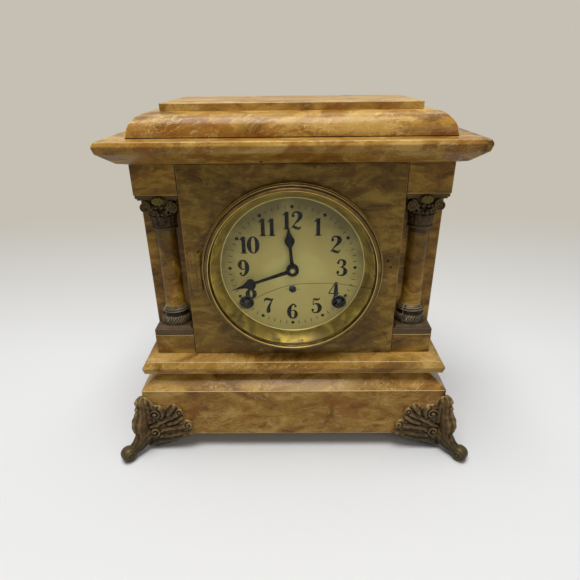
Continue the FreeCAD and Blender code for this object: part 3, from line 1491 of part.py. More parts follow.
def front_face():
    column_bases()
    column_shafts()
    column_capitals()
    bezel_ring()
    bezel_glass()
    reflector()
    dial()
    back_door()


def check_and_export():
    doc.recompute()
    os.makedirs("parts", exist_ok=True)
    for obj in doc.Objects:
        if "Invalid" in obj.State or "Error" in obj.State:
            raise RuntimeError("failed object: %s %s" % (obj.Label, obj.State))
    for obj in NODES:
        if obj.Shape.isNull() or not obj.Shape.isValid():
            raise RuntimeError("bad shape: " + obj.Label)
    for obj in NODES:
        obj.Shape.exportStep("parts/%s.step" % obj.Label)
    print("%d sub-parts written" % len(NODES))


case()
front_face()
movement()
check_and_export()
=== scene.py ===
import bmesh
import bpy
import math
import numpy as np
from mathutils import Matrix, Vector


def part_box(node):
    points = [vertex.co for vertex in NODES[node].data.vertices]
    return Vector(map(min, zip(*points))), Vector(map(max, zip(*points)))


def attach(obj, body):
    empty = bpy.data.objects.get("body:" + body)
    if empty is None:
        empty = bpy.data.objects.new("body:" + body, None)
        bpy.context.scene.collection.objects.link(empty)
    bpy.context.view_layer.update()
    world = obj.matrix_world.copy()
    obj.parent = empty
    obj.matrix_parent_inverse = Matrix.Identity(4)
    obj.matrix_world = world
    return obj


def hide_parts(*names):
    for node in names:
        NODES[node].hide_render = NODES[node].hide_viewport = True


# A column-front mantel clock with marbled lacquer, cast bronze mounts and a cracked glass.
# Sizes are in millimetres and become metres when a mesh is made. +X is to the right, +Y to the back.

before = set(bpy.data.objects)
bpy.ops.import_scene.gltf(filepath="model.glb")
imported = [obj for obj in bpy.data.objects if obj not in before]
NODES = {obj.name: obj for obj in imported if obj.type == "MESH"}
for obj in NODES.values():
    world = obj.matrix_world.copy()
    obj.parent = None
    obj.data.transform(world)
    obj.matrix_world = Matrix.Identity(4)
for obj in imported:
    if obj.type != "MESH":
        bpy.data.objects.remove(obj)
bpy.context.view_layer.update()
MM = 0.001
FULL = 2 * math.pi


def node_box(name):
    """The lowest and highest corner of a CAD node, in millimetres."""
    low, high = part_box(name)
    return Vector(low) / MM, Vector(high) / MM


# Places taken from the frame
PLINTH_LOW, PLINTH_HIGH = node_box("plinth")
PANEL_LOW, PANEL_HIGH = node_box("front_panel")
RING_LOW, RING_HIGH = node_box("bezel_ring")
GLASS_LOW, GLASS_HIGH = node_box("bezel_glass")
REFLECTOR_LOW, REFLECTOR_HIGH = node_box("bezel_reflector")
MOULD_LOW, MOULD_HIGH = node_box("top_mould")
SHAFT_LOW, SHAFT_HIGH = node_box("column_shaft_left")
DIAL_FRONT = node_box("dial")[0].y
CENTRE_Z = (GLASS_LOW.z + GLASS_HIGH.z) / 2
GLASS_RADIUS = (GLASS_HIGH.x - GLASS_LOW.x) / 2


def rgb(red, green, blue):
    """An sRGB colour from 0 to 255 as the linear colour that shaders take."""
    out = []
    for value in (red, green, blue):
        share = value / 255
        out.append(share / 12.92 if share <= 0.04045 else ((share + 0.055) / 1.055) ** 2.4)
    return (*out, 1.0)


# Shader nodes

class Nodes:
    """A node tree whose nodes are added one by one."""

    def __init__(self, tree):
        self.tree = tree

    def add(self, kind, inputs=(), **settings):
        node = self.tree.nodes.new("ShaderNode" + kind)
        for key, value in settings.items():
            setattr(node, key, value)
        for key, value in dict(inputs).items():
            self.feed(node.inputs[key], value)
        return node

    def feed(self, socket, value):
        if isinstance(value, bpy.types.NodeSocket):
            self.tree.links.new(value, socket)
        else:
            socket.default_value = value

    def math(self, operation, first, second=0.0, clamp=False):
        return self.add("Math", {0: first, 1: second}, operation=operation, use_clamp=clamp).outputs[0]

    def times(self, first, second):
        return self.math("MULTIPLY", first, second)

    def show(self, output, share, first, second):
        """Ends the tree in a blend of two shader nodes."""
        both = self.add("MixShader", {0: share, 1: first.outputs[0], 2: second.outputs[0]})
        self.feed(self.tree.nodes[output].inputs["Surface"], both.outputs[0])

    def background_rays(self):
        """One for the rays that look at the background, straight, mirrored or through glass."""
        rays = self.add("LightPath").outputs
        indirect = self.math("MAXIMUM", rays["Is Glossy Ray"], rays["Is Transmission Ray"])
        return self.math("MAXIMUM", rays["Is Camera Ray"], indirect)


class Shader(Nodes):
    """A new material; its patterns are placed by object coordinates, in metres."""

    def __init__(self, name):
        self.material = bpy.data.materials.new(name)
        self.material.use_nodes = True
        super().__init__(self.material.node_tree)
        self.surface = self.tree.nodes["Principled BSDF"]
        self.place = self.add("TexCoord").outputs["Object"]

    def set(self, **values):
        for key, value in values.items():
            self.feed(self.surface.inputs[key.replace("_", " ")], value)

    def axis(self, index):
        return self.add("SeparateXYZ", {0: self.place}).outputs[index]

    def rise(self):
        """Height over the dial's centre."""
        return self.math("SUBTRACT", self.axis(2), CENTRE_Z * MM)

    def vector(self, operation, first, second=(0, 0, 0), output="Vector"):
        return self.add("VectorMath", {0: first, 1: second}, operation=operation).outputs[output]

    def noise(self, scale, detail=4.0, rough=0.55, distortion=0.0, vector=None, shift=(0, 0, 0)):
        moved = self.add("Mapping", {"Vector": vector or self.place, "Location": shift})
        return self.add("TexNoise", {
            "Vector": moved.outputs["Vector"], "Scale": scale, "Detail": detail, "Roughness": rough,
            "Distortion": distortion,
        }).outputs["Fac"]

    def ramp(self, factor, *stops):
        node = self.add("ValToRGB", {"Fac": factor})
        elements = node.color_ramp.elements
        while len(elements) < len(stops):
            elements.new(0.5)
        for element, (place, colour) in zip(elements, stops):
            element.position = place
            element.color = colour if isinstance(colour, tuple) else (colour, colour, colour, 1.0)
        return node.outputs["Color"]

    def line(self, factor, level, width):
        """One where the factor crosses a level, falling to zero over a width."""
        away = self.math("ABSOLUTE", self.math("SUBTRACT", factor, level))
        return self.math("SUBTRACT", 1.0, self.math("DIVIDE", away, width), clamp=True)

    def mix(self, factor, first, second, blend="MIX"):
        node = self.add("Mix", data_type="RGBA", blend_type=blend)
        self.feed(node.inputs["Factor"], factor)
        self.feed(node.inputs[6], first)
        self.feed(node.inputs[7], second)
        return node.outputs[2]

    def tint(self, first, second):
        return self.mix(1.0, first, second, "MULTIPLY")

    def bump(self, height, strength, distance):
        node = self.add("Bump", {"Height": height, "Strength": strength, "Distance": distance * MM})
        self.surface.inputs["Normal"].default_value = (0, 0, 0)
        self.feed(self.surface.inputs["Normal"], node.outputs["Normal"])


# Materials

PAINT_STRETCH = (0.62, 0.9, 1.3)
PAINT_DRIFT = 0.034
EDGE_WEAR_AND_HIGHLIGHT = 1.5
STAIN_FROM = 135.5
STAIN_TO = 142.0
STAIN = rgb(42, 25, 7)


def marbled(name, dark, middle, light, vein, cream, shift, cream_share, edge, fine, shade=()):
    """Polished lacquer over marbled paint: drifting clouds, crisp brown islands, pale threads, worn edges
    with a painted highlight.
    """
    s = Shader(name)
    stretch = [share * fine for share in PAINT_STRETCH]
    long = s.add("Mapping", {"Vector": s.place, "Scale": stretch}).outputs["Vector"]
    drift = s.noise(36, 4, 0.6, 0.4, long, shift)
    drift = s.add("CombineXYZ", {0: drift, 1: drift, 2: drift}).outputs[0]
    warped = s.vector("ADD", long, s.vector("MULTIPLY", drift, (PAINT_DRIFT,) * 3))
    clouds = s.noise(34, 7, 0.64, 0.9, warped, shift)
    colour = s.ramp(clouds, (0.35, dark), (0.49, middle), (0.62, light))
    islands = s.noise(29, 8, 0.68, 1.1, warped, (shift[1], 3.1, 0.7))
    colour = s.mix(s.times(s.ramp(islands, (0.545, 0.0), (0.56, 1.0)), 0.56), colour, vein)
    gate = s.ramp(s.noise(26, 3, 0.5, 0.0, None, (7.0, shift[1], 2.0)), (0.46, 0.15), (0.58, 1.0))
    crazing = s.noise(52, 8, 0.7, 1.6, warped, (shift[2], 1.0, 6.0))
    curls = s.noise(38, 3, 0.5, 2.6, warped, (shift[2], 8.0, 4.0))
    threads = (
        (islands, 0.548, 0.012, 0.75, dark),
        (crazing, 0.5, 0.011, 0.62, dark),
        (curls, 0.48, 0.016, cream_share, cream),
    )
    for pattern, level, width, strength, tone in threads:
        thread = s.times(s.line(pattern, level, width), gate)
        colour = s.mix(s.times(thread, strength), colour, tone)
    colour = s.tint(colour, s.ramp(s.noise(520, 5, 0.75), (0.3, 0.8), (0.7, 1.14)))
    # The rounded edges turn towards the edge colour: partly worn lacquer, partly a painted highlight.
    rounded = s.add("Bevel", {"Radius": EDGE_WEAR_AND_HIGHLIGHT * MM}, samples=6).outputs[0]
    flat = s.add("NewGeometry").outputs["True Normal"]
    turned = s.math("SUBTRACT", 1.0, s.vector("DOT_PRODUCT", rounded, flat, "Value"))
    worn = s.ramp(turned, (0.015, 0.0), (0.14, 1.0))
    colour = s.mix(s.times(worn, s.ramp(s.noise(60, 4), (0.35, 0.4), (0.6, 1.0))), colour, edge)
    chips = s.ramp(s.noise(110, 5, 0.7, 0.6, None, (5, 5, 1)), (0.43, 0.0), (0.5, 1.0))
    # The stain is full in front of the clock's middle and weaker behind it
    stain = s.times(s.ramp(s.axis(0), (STAIN_FROM * MM, 0.0), (STAIN_TO * MM, 0.95)), chips)
    stain = s.times(stain, s.ramp(s.axis(1), (0.0, 1.0), (0.0, 0.3)))
    colour = s.mix(stain, colour, STAIN)
    # Painted light and shade: a given shade tints the colour by height.
    if shade:
        colour = s.tint(colour, s.ramp(s.axis(2), *shade))
    s.set(Base_Color=colour, Coat_Weight=0.2, Coat_Roughness=0.14, Specular_IOR_Level=0.12)
    s.set(Roughness=s.ramp(s.noise(90, 3), (0.35, 0.28), (0.7, 0.42)))
    s.bump(s.noise(70, 3), 0.12, 0.4)
    return s.material


GRIME_LOW = 12.0
GRIME_HIGH = 22.0
GRIME = rgb(38, 38, 28)


def aged_metal(name, dark, middle, light, metallic, rough, scale=150):
    """Cast metal: brown in the hollows, rubbed bright on the edges, grimy near the floor."""
    s = Shader(name)
    blotch = s.noise(scale, 5, 0.65)
    spread = s.times(s.math("SUBTRACT", blotch, 0.5), 0.09)
    worn = s.math("ADD", s.add("NewGeometry").outputs["Pointiness"], spread)
    colour = s.ramp(worn, (0.46, dark), (0.505, middle), (0.57, light))
    stain = s.noise(scale / 3, 4, 0.6, shift=(3, 1, 2))
    colour = s.tint(colour, s.ramp(stain, (0.35, 0.72), (0.65, 1.1)))
    grimy = s.ramp(s.axis(2), (GRIME_LOW * MM, 0.72), (GRIME_HIGH * MM, 0.0))
    colour = s.mix(grimy, colour, GRIME)
    s.set(Base_Color=colour, Metallic=metallic, Specular_IOR_Level=0.25)
    s.set(Roughness=s.ramp(blotch, (0.3, rough + 0.14), (0.7, rough - 0.08)))
    s.bump(s.noise(scale * 5, 3), 0.18, 0.15)
    return s.material


def plain_metal(name, colour, rough):
    s = Shader(name)
    wear = s.noise(900, 3)
    tone = s.ramp(s.noise(80, 4), (0.3, 0.75), (0.7, 1.1))
    s.set(Base_Color=s.tint(colour, tone), Metallic=1.0)
    s.set(Roughness=s.ramp(wear, (0.3, rough + 0.1), (0.7, rough - 0.05)))
    s.bump(wear, 0.1, 0.05)
    return s.material


def reflector_look():
    """Yellow-green brass, lighter towards the top and browned in blotches."""
    s = Shader("brass_reflector")
    climb = s.math("DIVIDE", s.rise(), GLASS_RADIUS * MM)
    tone = s.math("ADD", s.noise(60, 5, 0.65, 0.8), s.times(climb, 0.12))
    colour = s.ramp(tone, (0.3, rgb(92, 74, 18)), (0.48, rgb(136, 112, 32)), (0.68, rgb(184, 158, 64)))
    marks = s.ramp(s.noise(130, 3, 0.6, 0.5, shift=(2, 0, 5)), (0.66, 0.0), (0.7, 0.75))
    s.set(Base_Color=s.mix(marks, colour, rgb(60, 38, 16)), Metallic=0.65, Roughness=0.34)
    s.bump(s.noise(420, 3, 0.6), 0.1, 0.05)
    return s.material


def dial_look():
    """Aged cream paint, greenish towards the edge, with faint mottling; darker towards the edge and the top
    as painted shade of the bezel and the case above.
    """
    s = Shader("aged_dial_painted_shade")
    rise = s.rise()
    square = s.math("ADD", s.math("POWER", s.axis(0), 2.0), s.math("POWER", rise, 2.0))
    reach = s.math("DIVIDE", s.math("SQRT", square), GLASS_RADIUS * MM)
    mottle = s.times(s.math("SUBTRACT", s.noise(55, 5, 0.6), 0.5), 0.7)
    # Painted shade: the tone rises, and the paint darkens, towards the bezel and towards the top.
    tone = s.math("ADD", s.math("ADD", reach, mottle), s.times(rise, 3.2))
    colour = s.ramp(tone, (0.08, rgb(172, 160, 98)), (0.35, rgb(158, 143, 82)), (0.64, rgb(149, 134, 75)),
                    (0.98, rgb(98, 86, 42)))
    specks = s.ramp(s.noise(700, 2, 0.6), (0.68, 0.0), (0.78, 1.0))
    colour = s.mix(s.times(specks, 0.35), colour, rgb(112, 92, 52))
    s.set(Base_Color=colour, Roughness=0.5, Specular_IOR_Level=0.3)
    return s.material


def glass_look():
    """Clear glass that lets the lamps through to the dial."""
    s = Shader("window_glass")
    s.set(Base_Color=(0.97, 0.99, 0.97, 1.0), Transmission_Weight=1.0, IOR=1.18, Specular_IOR_Level=0.3)
    s.set(Roughness=s.ramp(s.noise(40, 4, 0.6, 0.5), (0.45, 0.0), (0.8, 0.03)))
    through = s.add("BsdfTransparent", {0: (0.96, 0.98, 0.95, 1.0)})
    s.show("Material Output", s.add("LightPath").outputs["Is Shadow Ray"], s.surface, through)
    return s.material


def paint_look(name, colour, rough):
    s = Shader(name)
    tone = s.ramp(s.noise(600, 3), (0.3, 0.8), (0.7, 1.15))
    s.set(Base_Color=s.tint(colour, tone), Roughness=rough, Specular_IOR_Level=0.18)
    s.bump(s.noise(1500, 2), 0.05, 0.02)
    return s.material


def wood_look():
    s = Shader("sawn_wood")
    stretched = s.add("Mapping", {"Vector": s.place, "Scale": (8, 60, 90)}).outputs["Vector"]
    rings = s.noise(2.2, 6, 0.6, 1.2, stretched)
    s.set(Base_Color=s.ramp(rings, (0.3, rgb(96, 66, 38)), (0.7, rgb(150, 114, 72))), Roughness=0.7)
    s.bump(rings, 0.3, 0.3)
    return s.material


# Each lacquer's dark, middle, light, vein and cream colours, shift, share of cream, worn edge with its
# painted highlight and fineness
AMBER_TONES = (rgb(118, 78, 20), rgb(170, 127, 52), rgb(196, 157, 82), rgb(140, 84, 20), rgb(228, 204, 146),
               (1.3, 0.4, 2.7), 0.5, rgb(252, 238, 200), 1.15)
# The olive lacquer is darker than the amber partly in its own colour, partly as painted shade under the
# cornice's overhang.
OLIVE_TONES = (rgb(82, 56, 12), rgb(124, 94, 29), rgb(158, 125, 50), rgb(104, 69, 16), rgb(160, 132, 68),
               (4.1, 2.2, 0.9), 0.25, rgb(168, 136, 72), 1.7)
OCHRE_TONES = (rgb(86, 57, 12), rgb(136, 99, 32), rgb(174, 134, 54), rgb(116, 74, 16), rgb(176, 146, 80),
               (2.6, 5.1, 1.4), 0.25, rgb(222, 192, 124), 1.5)
# Painted light on the column shafts: lighter at their foot, darker at their top under the capitals.
SHAFT_SHADE = ((SHAFT_LOW.z * MM, 1.35), (SHAFT_HIGH.z * MM, 0.55))
AMBER = marbled("amber_marbling", *AMBER_TONES)
OLIVE = marbled("olive_marbling", *OLIVE_TONES)
OCHRE = marbled("ochre_marbling", *OCHRE_TONES)
SHAFT = marbled("shaft_marbling", *OCHRE_TONES, shade=SHAFT_SHADE)
BRONZE = aged_metal("bronze_patina", rgb(24, 17, 8), rgb(88, 67, 36), rgb(156, 130, 82), 0.3, 0.42)
BASE_BRONZE = aged_metal("base_patina", rgb(18, 11, 6), rgb(68, 55, 36), rgb(176, 160, 124), 0.3, 0.42)
PLATE_BRONZE = aged_metal("plate_patina", rgb(18, 8, 3), rgb(52, 32, 17), rgb(96, 76, 50), 0.1, 0.5, 420)
CAPITAL_BRONZE = aged_metal("capital_patina", rgb(15, 9, 3), rgb(72, 54, 29), rgb(100, 82, 48), 0.2, 0.5)
ROSETTE_BRONZE = aged_metal("rosette_patina", rgb(36, 30, 8), rgb(78, 66, 24), rgb(112, 98, 44), 0.2, 0.5)
BEZEL_BRASS = aged_metal("bezel_patina", rgb(16, 8, 3), rgb(50, 33, 13), rgb(138, 108, 52), 0.5, 0.36, 120)
REFLECTOR_BRASS = reflector_look()
DIAL_PAINT = dial_look()
GLASS = glass_look()
WOOD = wood_look()
SIGHT_BEAD = plain_metal("sight_bead_brass", rgb(236, 222, 150), 0.4)
BRIGHT_BEAD = plain_metal("bright_bead", rgb(206, 178, 100), 0.36)
# Painted shade: a darkened steel for the arbors inside the dial's holes and the rims of the holes, standing
# for the shade in the holes.
DARK_STEEL = plain_metal("hole_steel_painted_shade", rgb(74, 76, 82), 0.5)
HAND_STEEL = plain_metal("hand_steel", rgb(30, 29, 27), 0.45)
STEEL = plain_metal("polished_steel", rgb(178, 178, 182), 0.28)
BRASS = plain_metal("movement_brass_look", rgb(196, 160, 84), 0.34)
IRON = paint_look("iron_paint", rgb(34, 34, 34), 0.5)
NUMERAL_INK = paint_look("numeral_ink", rgb(12, 10, 7), 0.6)
TICK_INK = paint_look("tick_ink", rgb(40, 34, 20), 0.6)
CRACK = paint_look("crack_edge", rgb(86, 76, 40), 0.3)
CRACK_END = paint_look("crack_shadow", rgb(52, 44, 22), 0.5)
PIN_END = paint_look("pin_end", rgb(98, 102, 90), 0.4)
# Painted highlight, partly rubbed lacquer: the pale lines on the front edges of the lower moulding and the
# plinth.
RUBBED_HIGHLIGHT = paint_look("rubbed_lacquer_highlight", rgb(236, 210, 156), 0.3)
FADED = paint_look("faded_lacquer", rgb(226, 198, 138), 0.35)
SCRATCH = paint_look("scratch_line", rgb(224, 206, 168), 0.4)
DARK_MARK = paint_look("dark_mark", rgb(34, 24, 10), 0.6)

# The finish of each slot of the frame
LOOKS = {
    "amber_lacquer": AMBER, "olive_lacquer": OLIVE, "bare_wood": WOOD, "antique_bronze": BRONZE,
    "worn_brass": BEZEL_BRASS, "clear_glass": GLASS, "cream_dial": DIAL_PAINT, "movement_brass": BRASS,
    "bright_steel": STEEL, "blued_steel": HAND_STEEL, "black_iron": IRON,
}

# CAD nodes whose finish differs from the one of their slot
OWN_LOOKS = {
    "frieze_blocks": OCHRE, "pedestals": OCHRE, "inner_front_board": OCHRE, "column_shaft_left": SHAFT,
    "column_shaft_right": SHAFT, "bezel_hinge_leaf": OLIVE, "time_winding_arbor": DARK_STEEL,
    "strike_winding_arbor": DARK_STEEL, "regulator_arbor": DARK_STEEL,
}
EDGE_ROUND = 0.8
WELD_REACH = 0.01
BOARD_CORNER = 25


def dress_frame():
    """Gives each CAD node its finish, and the lacquered boards a small round on their edges."""
    for name, obj in NODES.items():
        for index, held in enumerate(obj.data.materials):
            key = held.name.split(".")[0]
            obj.data.materials[index] = OWN_LOOKS.get(name) or LOOKS.get(key, held)
        if obj.data.materials[0] in (AMBER, OLIVE, OCHRE, WOOD) and name != "bezel_hinge_leaf":
            weld = obj.modifiers.new("weld", "WELD")
            weld.merge_threshold = WELD_REACH * MM
            bevel = obj.modifiers.new("bevel", "BEVEL")
            bevel.width = EDGE_ROUND * MM
            bevel.segments = 3
            bevel.limit_method = "ANGLE"
            bevel.angle_limit = math.radians(BOARD_CORNER)
            bevel.harden_normals = True


# Mesh pieces

def soften(obj, degrees):
    """Smooth shading that keeps edges sharper than an angle."""
    work = bmesh.new()
    work.from_mesh(obj.data)
    for edge in work.edges:
        if len(edge.link_faces) == 2 and edge.calc_face_angle(0.0) > math.radians(degrees):
            edge.smooth = False
    work.to_mesh(obj.data)
    work.free()


def piece(name, points, faces, look, body="case", smooth=True, slot=None, stands_for=None, sharp=None):
    """A mesh from points in millimetres, riding on a body."""
    mesh = bpy.data.meshes.new(name)
    mesh.from_pydata([tuple(Vector(point) * MM) for point in points], [], faces)
    mesh.validate()
    work = bmesh.new()
    work.from_mesh(mesh)
    bmesh.ops.remove_doubles(work, verts=work.verts, dist=0.001 * MM)
    bmesh.ops.recalc_face_normals(work, faces=work.faces)
    work.to_mesh(mesh)
    work.free()
    mesh.materials.append(look)
    for polygon in mesh.polygons:
        polygon.use_smooth = smooth
    obj = bpy.data.objects.new(name, mesh)
    bpy.context.scene.collection.objects.link(obj)
    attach(obj, body)
    if stands_for:
        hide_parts(stands_for)
    if sharp:
        soften(obj, sharp)


class Parts:
    """Gathers several closed shapes into one mesh."""

    def __init__(self):
        self.points = []
        self.faces = []

    def add(self, points, faces):
        start = len(self.points)
        self.points += [Vector(point) for point in points]
        self.faces += [[start + index for index in face] for face in faces]

    def moved(self, change):
        out = Parts()
        out.points = [change(point) for point in self.points]
        out.faces = list(self.faces)
        return out

    def pressed(self, front, back):
        """The same shape with every point kept between two depths."""
        return self.moved(lambda p: Vector((p.x, min(max(p.y, front), back), p.z)))

    def piece(self, name, look, body="case", **settings):
        piece(name, self.points, self.faces, look, body, **settings)


def grid_faces(rows, columns, closed=True):
    """The faces between rows of points; closed rows end where they start."""
    faces = []
    for i in range(rows - 1):
        for j in range(columns if closed else columns - 1):
            following = (j + 1) % columns
            faces.append([i * columns + j, i * columns + following, (i + 1) * columns + following,
                          (i + 1) * columns + j])
    return faces


def tube_faces(points, sides):
    """The faces of a tube made of rings of points, with both of its ends closed."""
    ends = [list(range(sides)), [len(points) - sides + j for j in range(sides)]]
    return grid_faces(len(points) // sides, sides) + ends


def turns(steps, start=0.0, end=FULL):
    """Even steps from a start up to an end, without the end."""
    return [start + (end - start) * step / steps for step in range(steps)]


def smooth_path(knots, steps):
    """Points of a curve through knots of any number of values (Catmull-Rom)."""
    rows = [np.array(knot, dtype=float) for knot in knots]
    rows = [2 * rows[0] - rows[1]] + rows + [2 * rows[-1] - rows[-2]]
    out = []
    for i in range(1, len(rows) - 2):
        a, b, c, d = rows[i - 1:i + 3]
        for t in turns(steps, 0, 1):
            out.append(0.5 * (2 * b + (c - a) * t + (2 * a - 5 * b + 4 * c - d) * t ** 2
                              + (3 * b - a - 3 * c + d) * t ** 3))
    out.append(rows[-2])
    return out


def headings(rows):
    """A path's direction at each of its points, from their first two values."""
    out = []
    for i in range(len(rows)):
        ahead = np.subtract(rows[min(i + 1, len(rows) - 1)][:2], rows[max(i - 1, 0)][:2])
        out.append(ahead / (np.hypot(*ahead) or 1.0))
    return out


FRONT_HALF = (math.pi, FULL)


def lathe(profile, centre, axis="y", steps=48, span=None, bend=None, closed=False):
    """Turns (radius, along) pairs about an axis: 'z' upright, 'y' towards the viewer."""
    profile = list(profile) + list(profile[:1] if closed else ())
    angles = turns(steps, *span) + [span[1]] if span else turns(steps)
    points = []
    for radius, along in profile:
        for angle in angles:
            reach = radius + (bend(angle, along) if bend else 0.0)
            across, away = reach * math.cos(angle), reach * math.sin(angle)
            points.append(centre + Vector((across, away, along) if axis == "z" else (across, -along, away)))
    return points, grid_faces(len(profile), len(angles), closed=not span)


def block(low, high):
    """A box between two corners."""
    points = [(x, y, z) for x in (low[0], high[0]) for y in (low[1], high[1]) for z in (low[2], high[2])]
    return points, [[0, 1, 3, 2], [4, 6, 7, 5], [0, 4, 5, 1], [2, 3, 7, 6], [0, 2, 6, 4], [1, 5, 7, 3]]


def tube(path, radii, sides=8):
    """A round rod along a path of 3-D points, of one radius or of one for each point."""
    points = []
    path = [Vector(point) for point in path]
    for i, centre in enumerate(path):
        ahead = path[min(i + 1, len(path) - 1)] - path[max(i - 1, 0)]
        ahead.normalize()
        side = ahead.cross(Vector((0, 1, 0.01)))
        if side.length < 0.1:
            side = ahead.cross(Vector((1, 0, 0)))
        side.normalize()
        up = ahead.cross(side)
        radius = radii[i] if isinstance(radii, list) else radii
        for angle in turns(sides):
            points.append(centre + side * (radius * math.cos(angle)) + up * (radius * math.sin(angle)))
    return points, tube_faces(points, sides)


def ball(centre, radii, rows=6, sides=10):
    """An egg with a radius for each axis."""
    points = []
    for lift in turns(rows, 0, math.pi) + [math.pi]:
        for turn in turns(sides):
            unit = (math.sin(lift) * math.cos(turn), math.sin(lift) * math.sin(turn), math.cos(lift))
            points.append(Vector(centre) + Vector([radius * share for radius, share in zip(radii, unit)]))
    return points, grid_faces(rows + 1, sides)


def rods(name, paths, radius, look, body="case", sides=8):
    """A mesh of thin rods along several paths."""
    shape = Parts()
    for path in paths:
        shape.add(*tube(path, radius, sides))
    shape.piece(name, look, body)


def three_sided(middle, half, front, back, rows):
    """A block whose left, front and right follow a profile of (inset, height) pairs."""
    points = []
    for inset, z in rows:
        left, right = middle - half + inset, middle + half - inset
        points += [(left, back, z), (left, front + inset, z), (right, front + inset, z), (right, back, z)]
    return points, tube_faces(points, 4)


# Feet: a carved leaf on each face of the corner and a leg with a scrolled toe

WING_OUTLINE = (
    (-2, 4), (-2, 36), (-2, 60), (1.5, 62.3), (5.5, 60.5), (8.5, 56.5), (11, 53.2), (15.5, 53.2),
    (19, 50.6), (21, 49.4), (22.6, 52.4), (25.5, 54.4), (29, 54.7), (32.3, 52.8), (33.6, 50.2),
    (36.4, 47.6), (38.2, 43.5), (37.2, 39.4), (36, 35.8), (39.4, 35.4), (43.2, 33.8), (45, 30),
    (44, 25.6), (44.6, 22.6), (47, 20), (44, 16.6), (38.6, 14.6), (33.4, 12.8), (28, 9.6), (22.6, 8.2),
    (17.6, 5.4), (12, 4.2), (6, 2),
)
WING_RIBS = (
    ((5, 27), (14, 33.5), (22, 38), (29, 41.5), (33, 45)),
    ((11, 22.5), (19, 25.5), (28, 27), (36, 28.6)),
    ((13, 16.5), (22, 17), (32, 19.5), (43, 20)),
    ((2, 6), (10, 9.6), (19, 12), (29, 14.2), (37, 17)),
    ((3, 34), (3.6, 46), (2.4, 58)),
    ((16, 40), (17.5, 45.5), (15.5, 50)),
    ((23, 42.5), (25, 47), (28.5, 51.6)),
    ((22, 32), (29, 34.5), (35, 38.5)),
)
# Scrolls of the leaf: middle across and up, reach, and way round
WING_SCROLLS = ((10.4, 43, 6.2, 1), (7, 22, 7.4, -1), (34, 46.2, 3.8, 1), (40.6, 30.2, 4.6, -1))
# Start and end of the leaf's grid, across and up
WING_GRID = ((-3.0, 48.5), (1.0, 64.5))
WING_STEP = 0.65
WING_BACK = -0.2
RIM_HEIGHT = 1.3
LEAF_SWELL = 1.9
RIPPLE = 0.25
RIB_HEIGHT = 1.2
RIB_WIDTH = 1.8
GROOVE_DEPTH = 0.6
GROOVE_AWAY = 3.3


def to_path(u, z, path):
    """Distance from grid points to a polyline."""
    best = np.full(u.shape, np.inf)
    for (au, az), (bu, bz) in zip(path, path[1:]):
        du, dz = bu - au, bz - az
        t = np.clip(((u - au) * du + (z - az) * dz) / (du * du + dz * dz), 0, 1)
        best = np.minimum(best, np.hypot(u - au - t * du, z - az - t * dz))
    return best


def inside(u, z, outline):
    """Whether grid points lie within an outline."""
    hit = np.zeros(u.shape, dtype=bool)
    for (au, az), (bu, bz) in zip(outline, outline[1:] + outline[:1]):
        crosses = (az > z) != (bz > z)
        hit ^= crosses & (u < (bu - au) * (z - az) / (bz - az + 1e-12) + au)
    return hit


def wing_relief(u, z, outline):
    """Height of the carving: a rounded rim, ribs between grooves, and coiled scrolls with a boss."""
    edge = to_path(u, z, outline + outline[:1])
    ripple = RIPPLE * np.sin(u * 0.9 + z * 0.35) * np.cos(z * 0.7 - u * 0.2)
    height = RIM_HEIGHT + LEAF_SWELL * (1 - np.exp(-edge / 1.5)) + ripple
    for path in WING_RIBS:
        near = to_path(u, z, smooth_path(path, 5))
        height += RIB_HEIGHT * np.exp(-(near / RIB_WIDTH) ** 2)
        height -= GROOVE_DEPTH * np.exp(-(near - GROOVE_AWAY) ** 2)
    for cu, cz, reach, way in WING_SCROLLS:
        r = np.hypot(u - cu, z - cz)
        coil = 0.5 + 0.5 * np.cos(FULL * r / (reach * 0.62) - way * np.arctan2(z - cz, u - cu))
        boss = np.exp(-(r / (reach * 0.34)) ** 2)
        cover = np.clip((reach - r) / (reach * 0.25), 0, 1)
        height = height * (1 - cover) + cover * (2.4 + 1.5 * coil + 1.4 * boss)
    return height


def rim_of(faces):
    """The sides that belong to one face only."""
    sides = {(a, b) for face in faces for a, b in zip(face, face[1:] + face[:1])}
    return sorted((a, b) for a, b in sides if (b, a) not in sides)


def thickened(front, back, faces):
    """A closed shape from a sheet, the same sheet behind it and walls along the rim."""
    total = len(front)
    behind = [[index + total for index in reversed(face)] for face in faces]
    walls = [[a, a + total, b + total, b] for a, b in rim_of(faces)]
    return front + back, faces + behind + walls


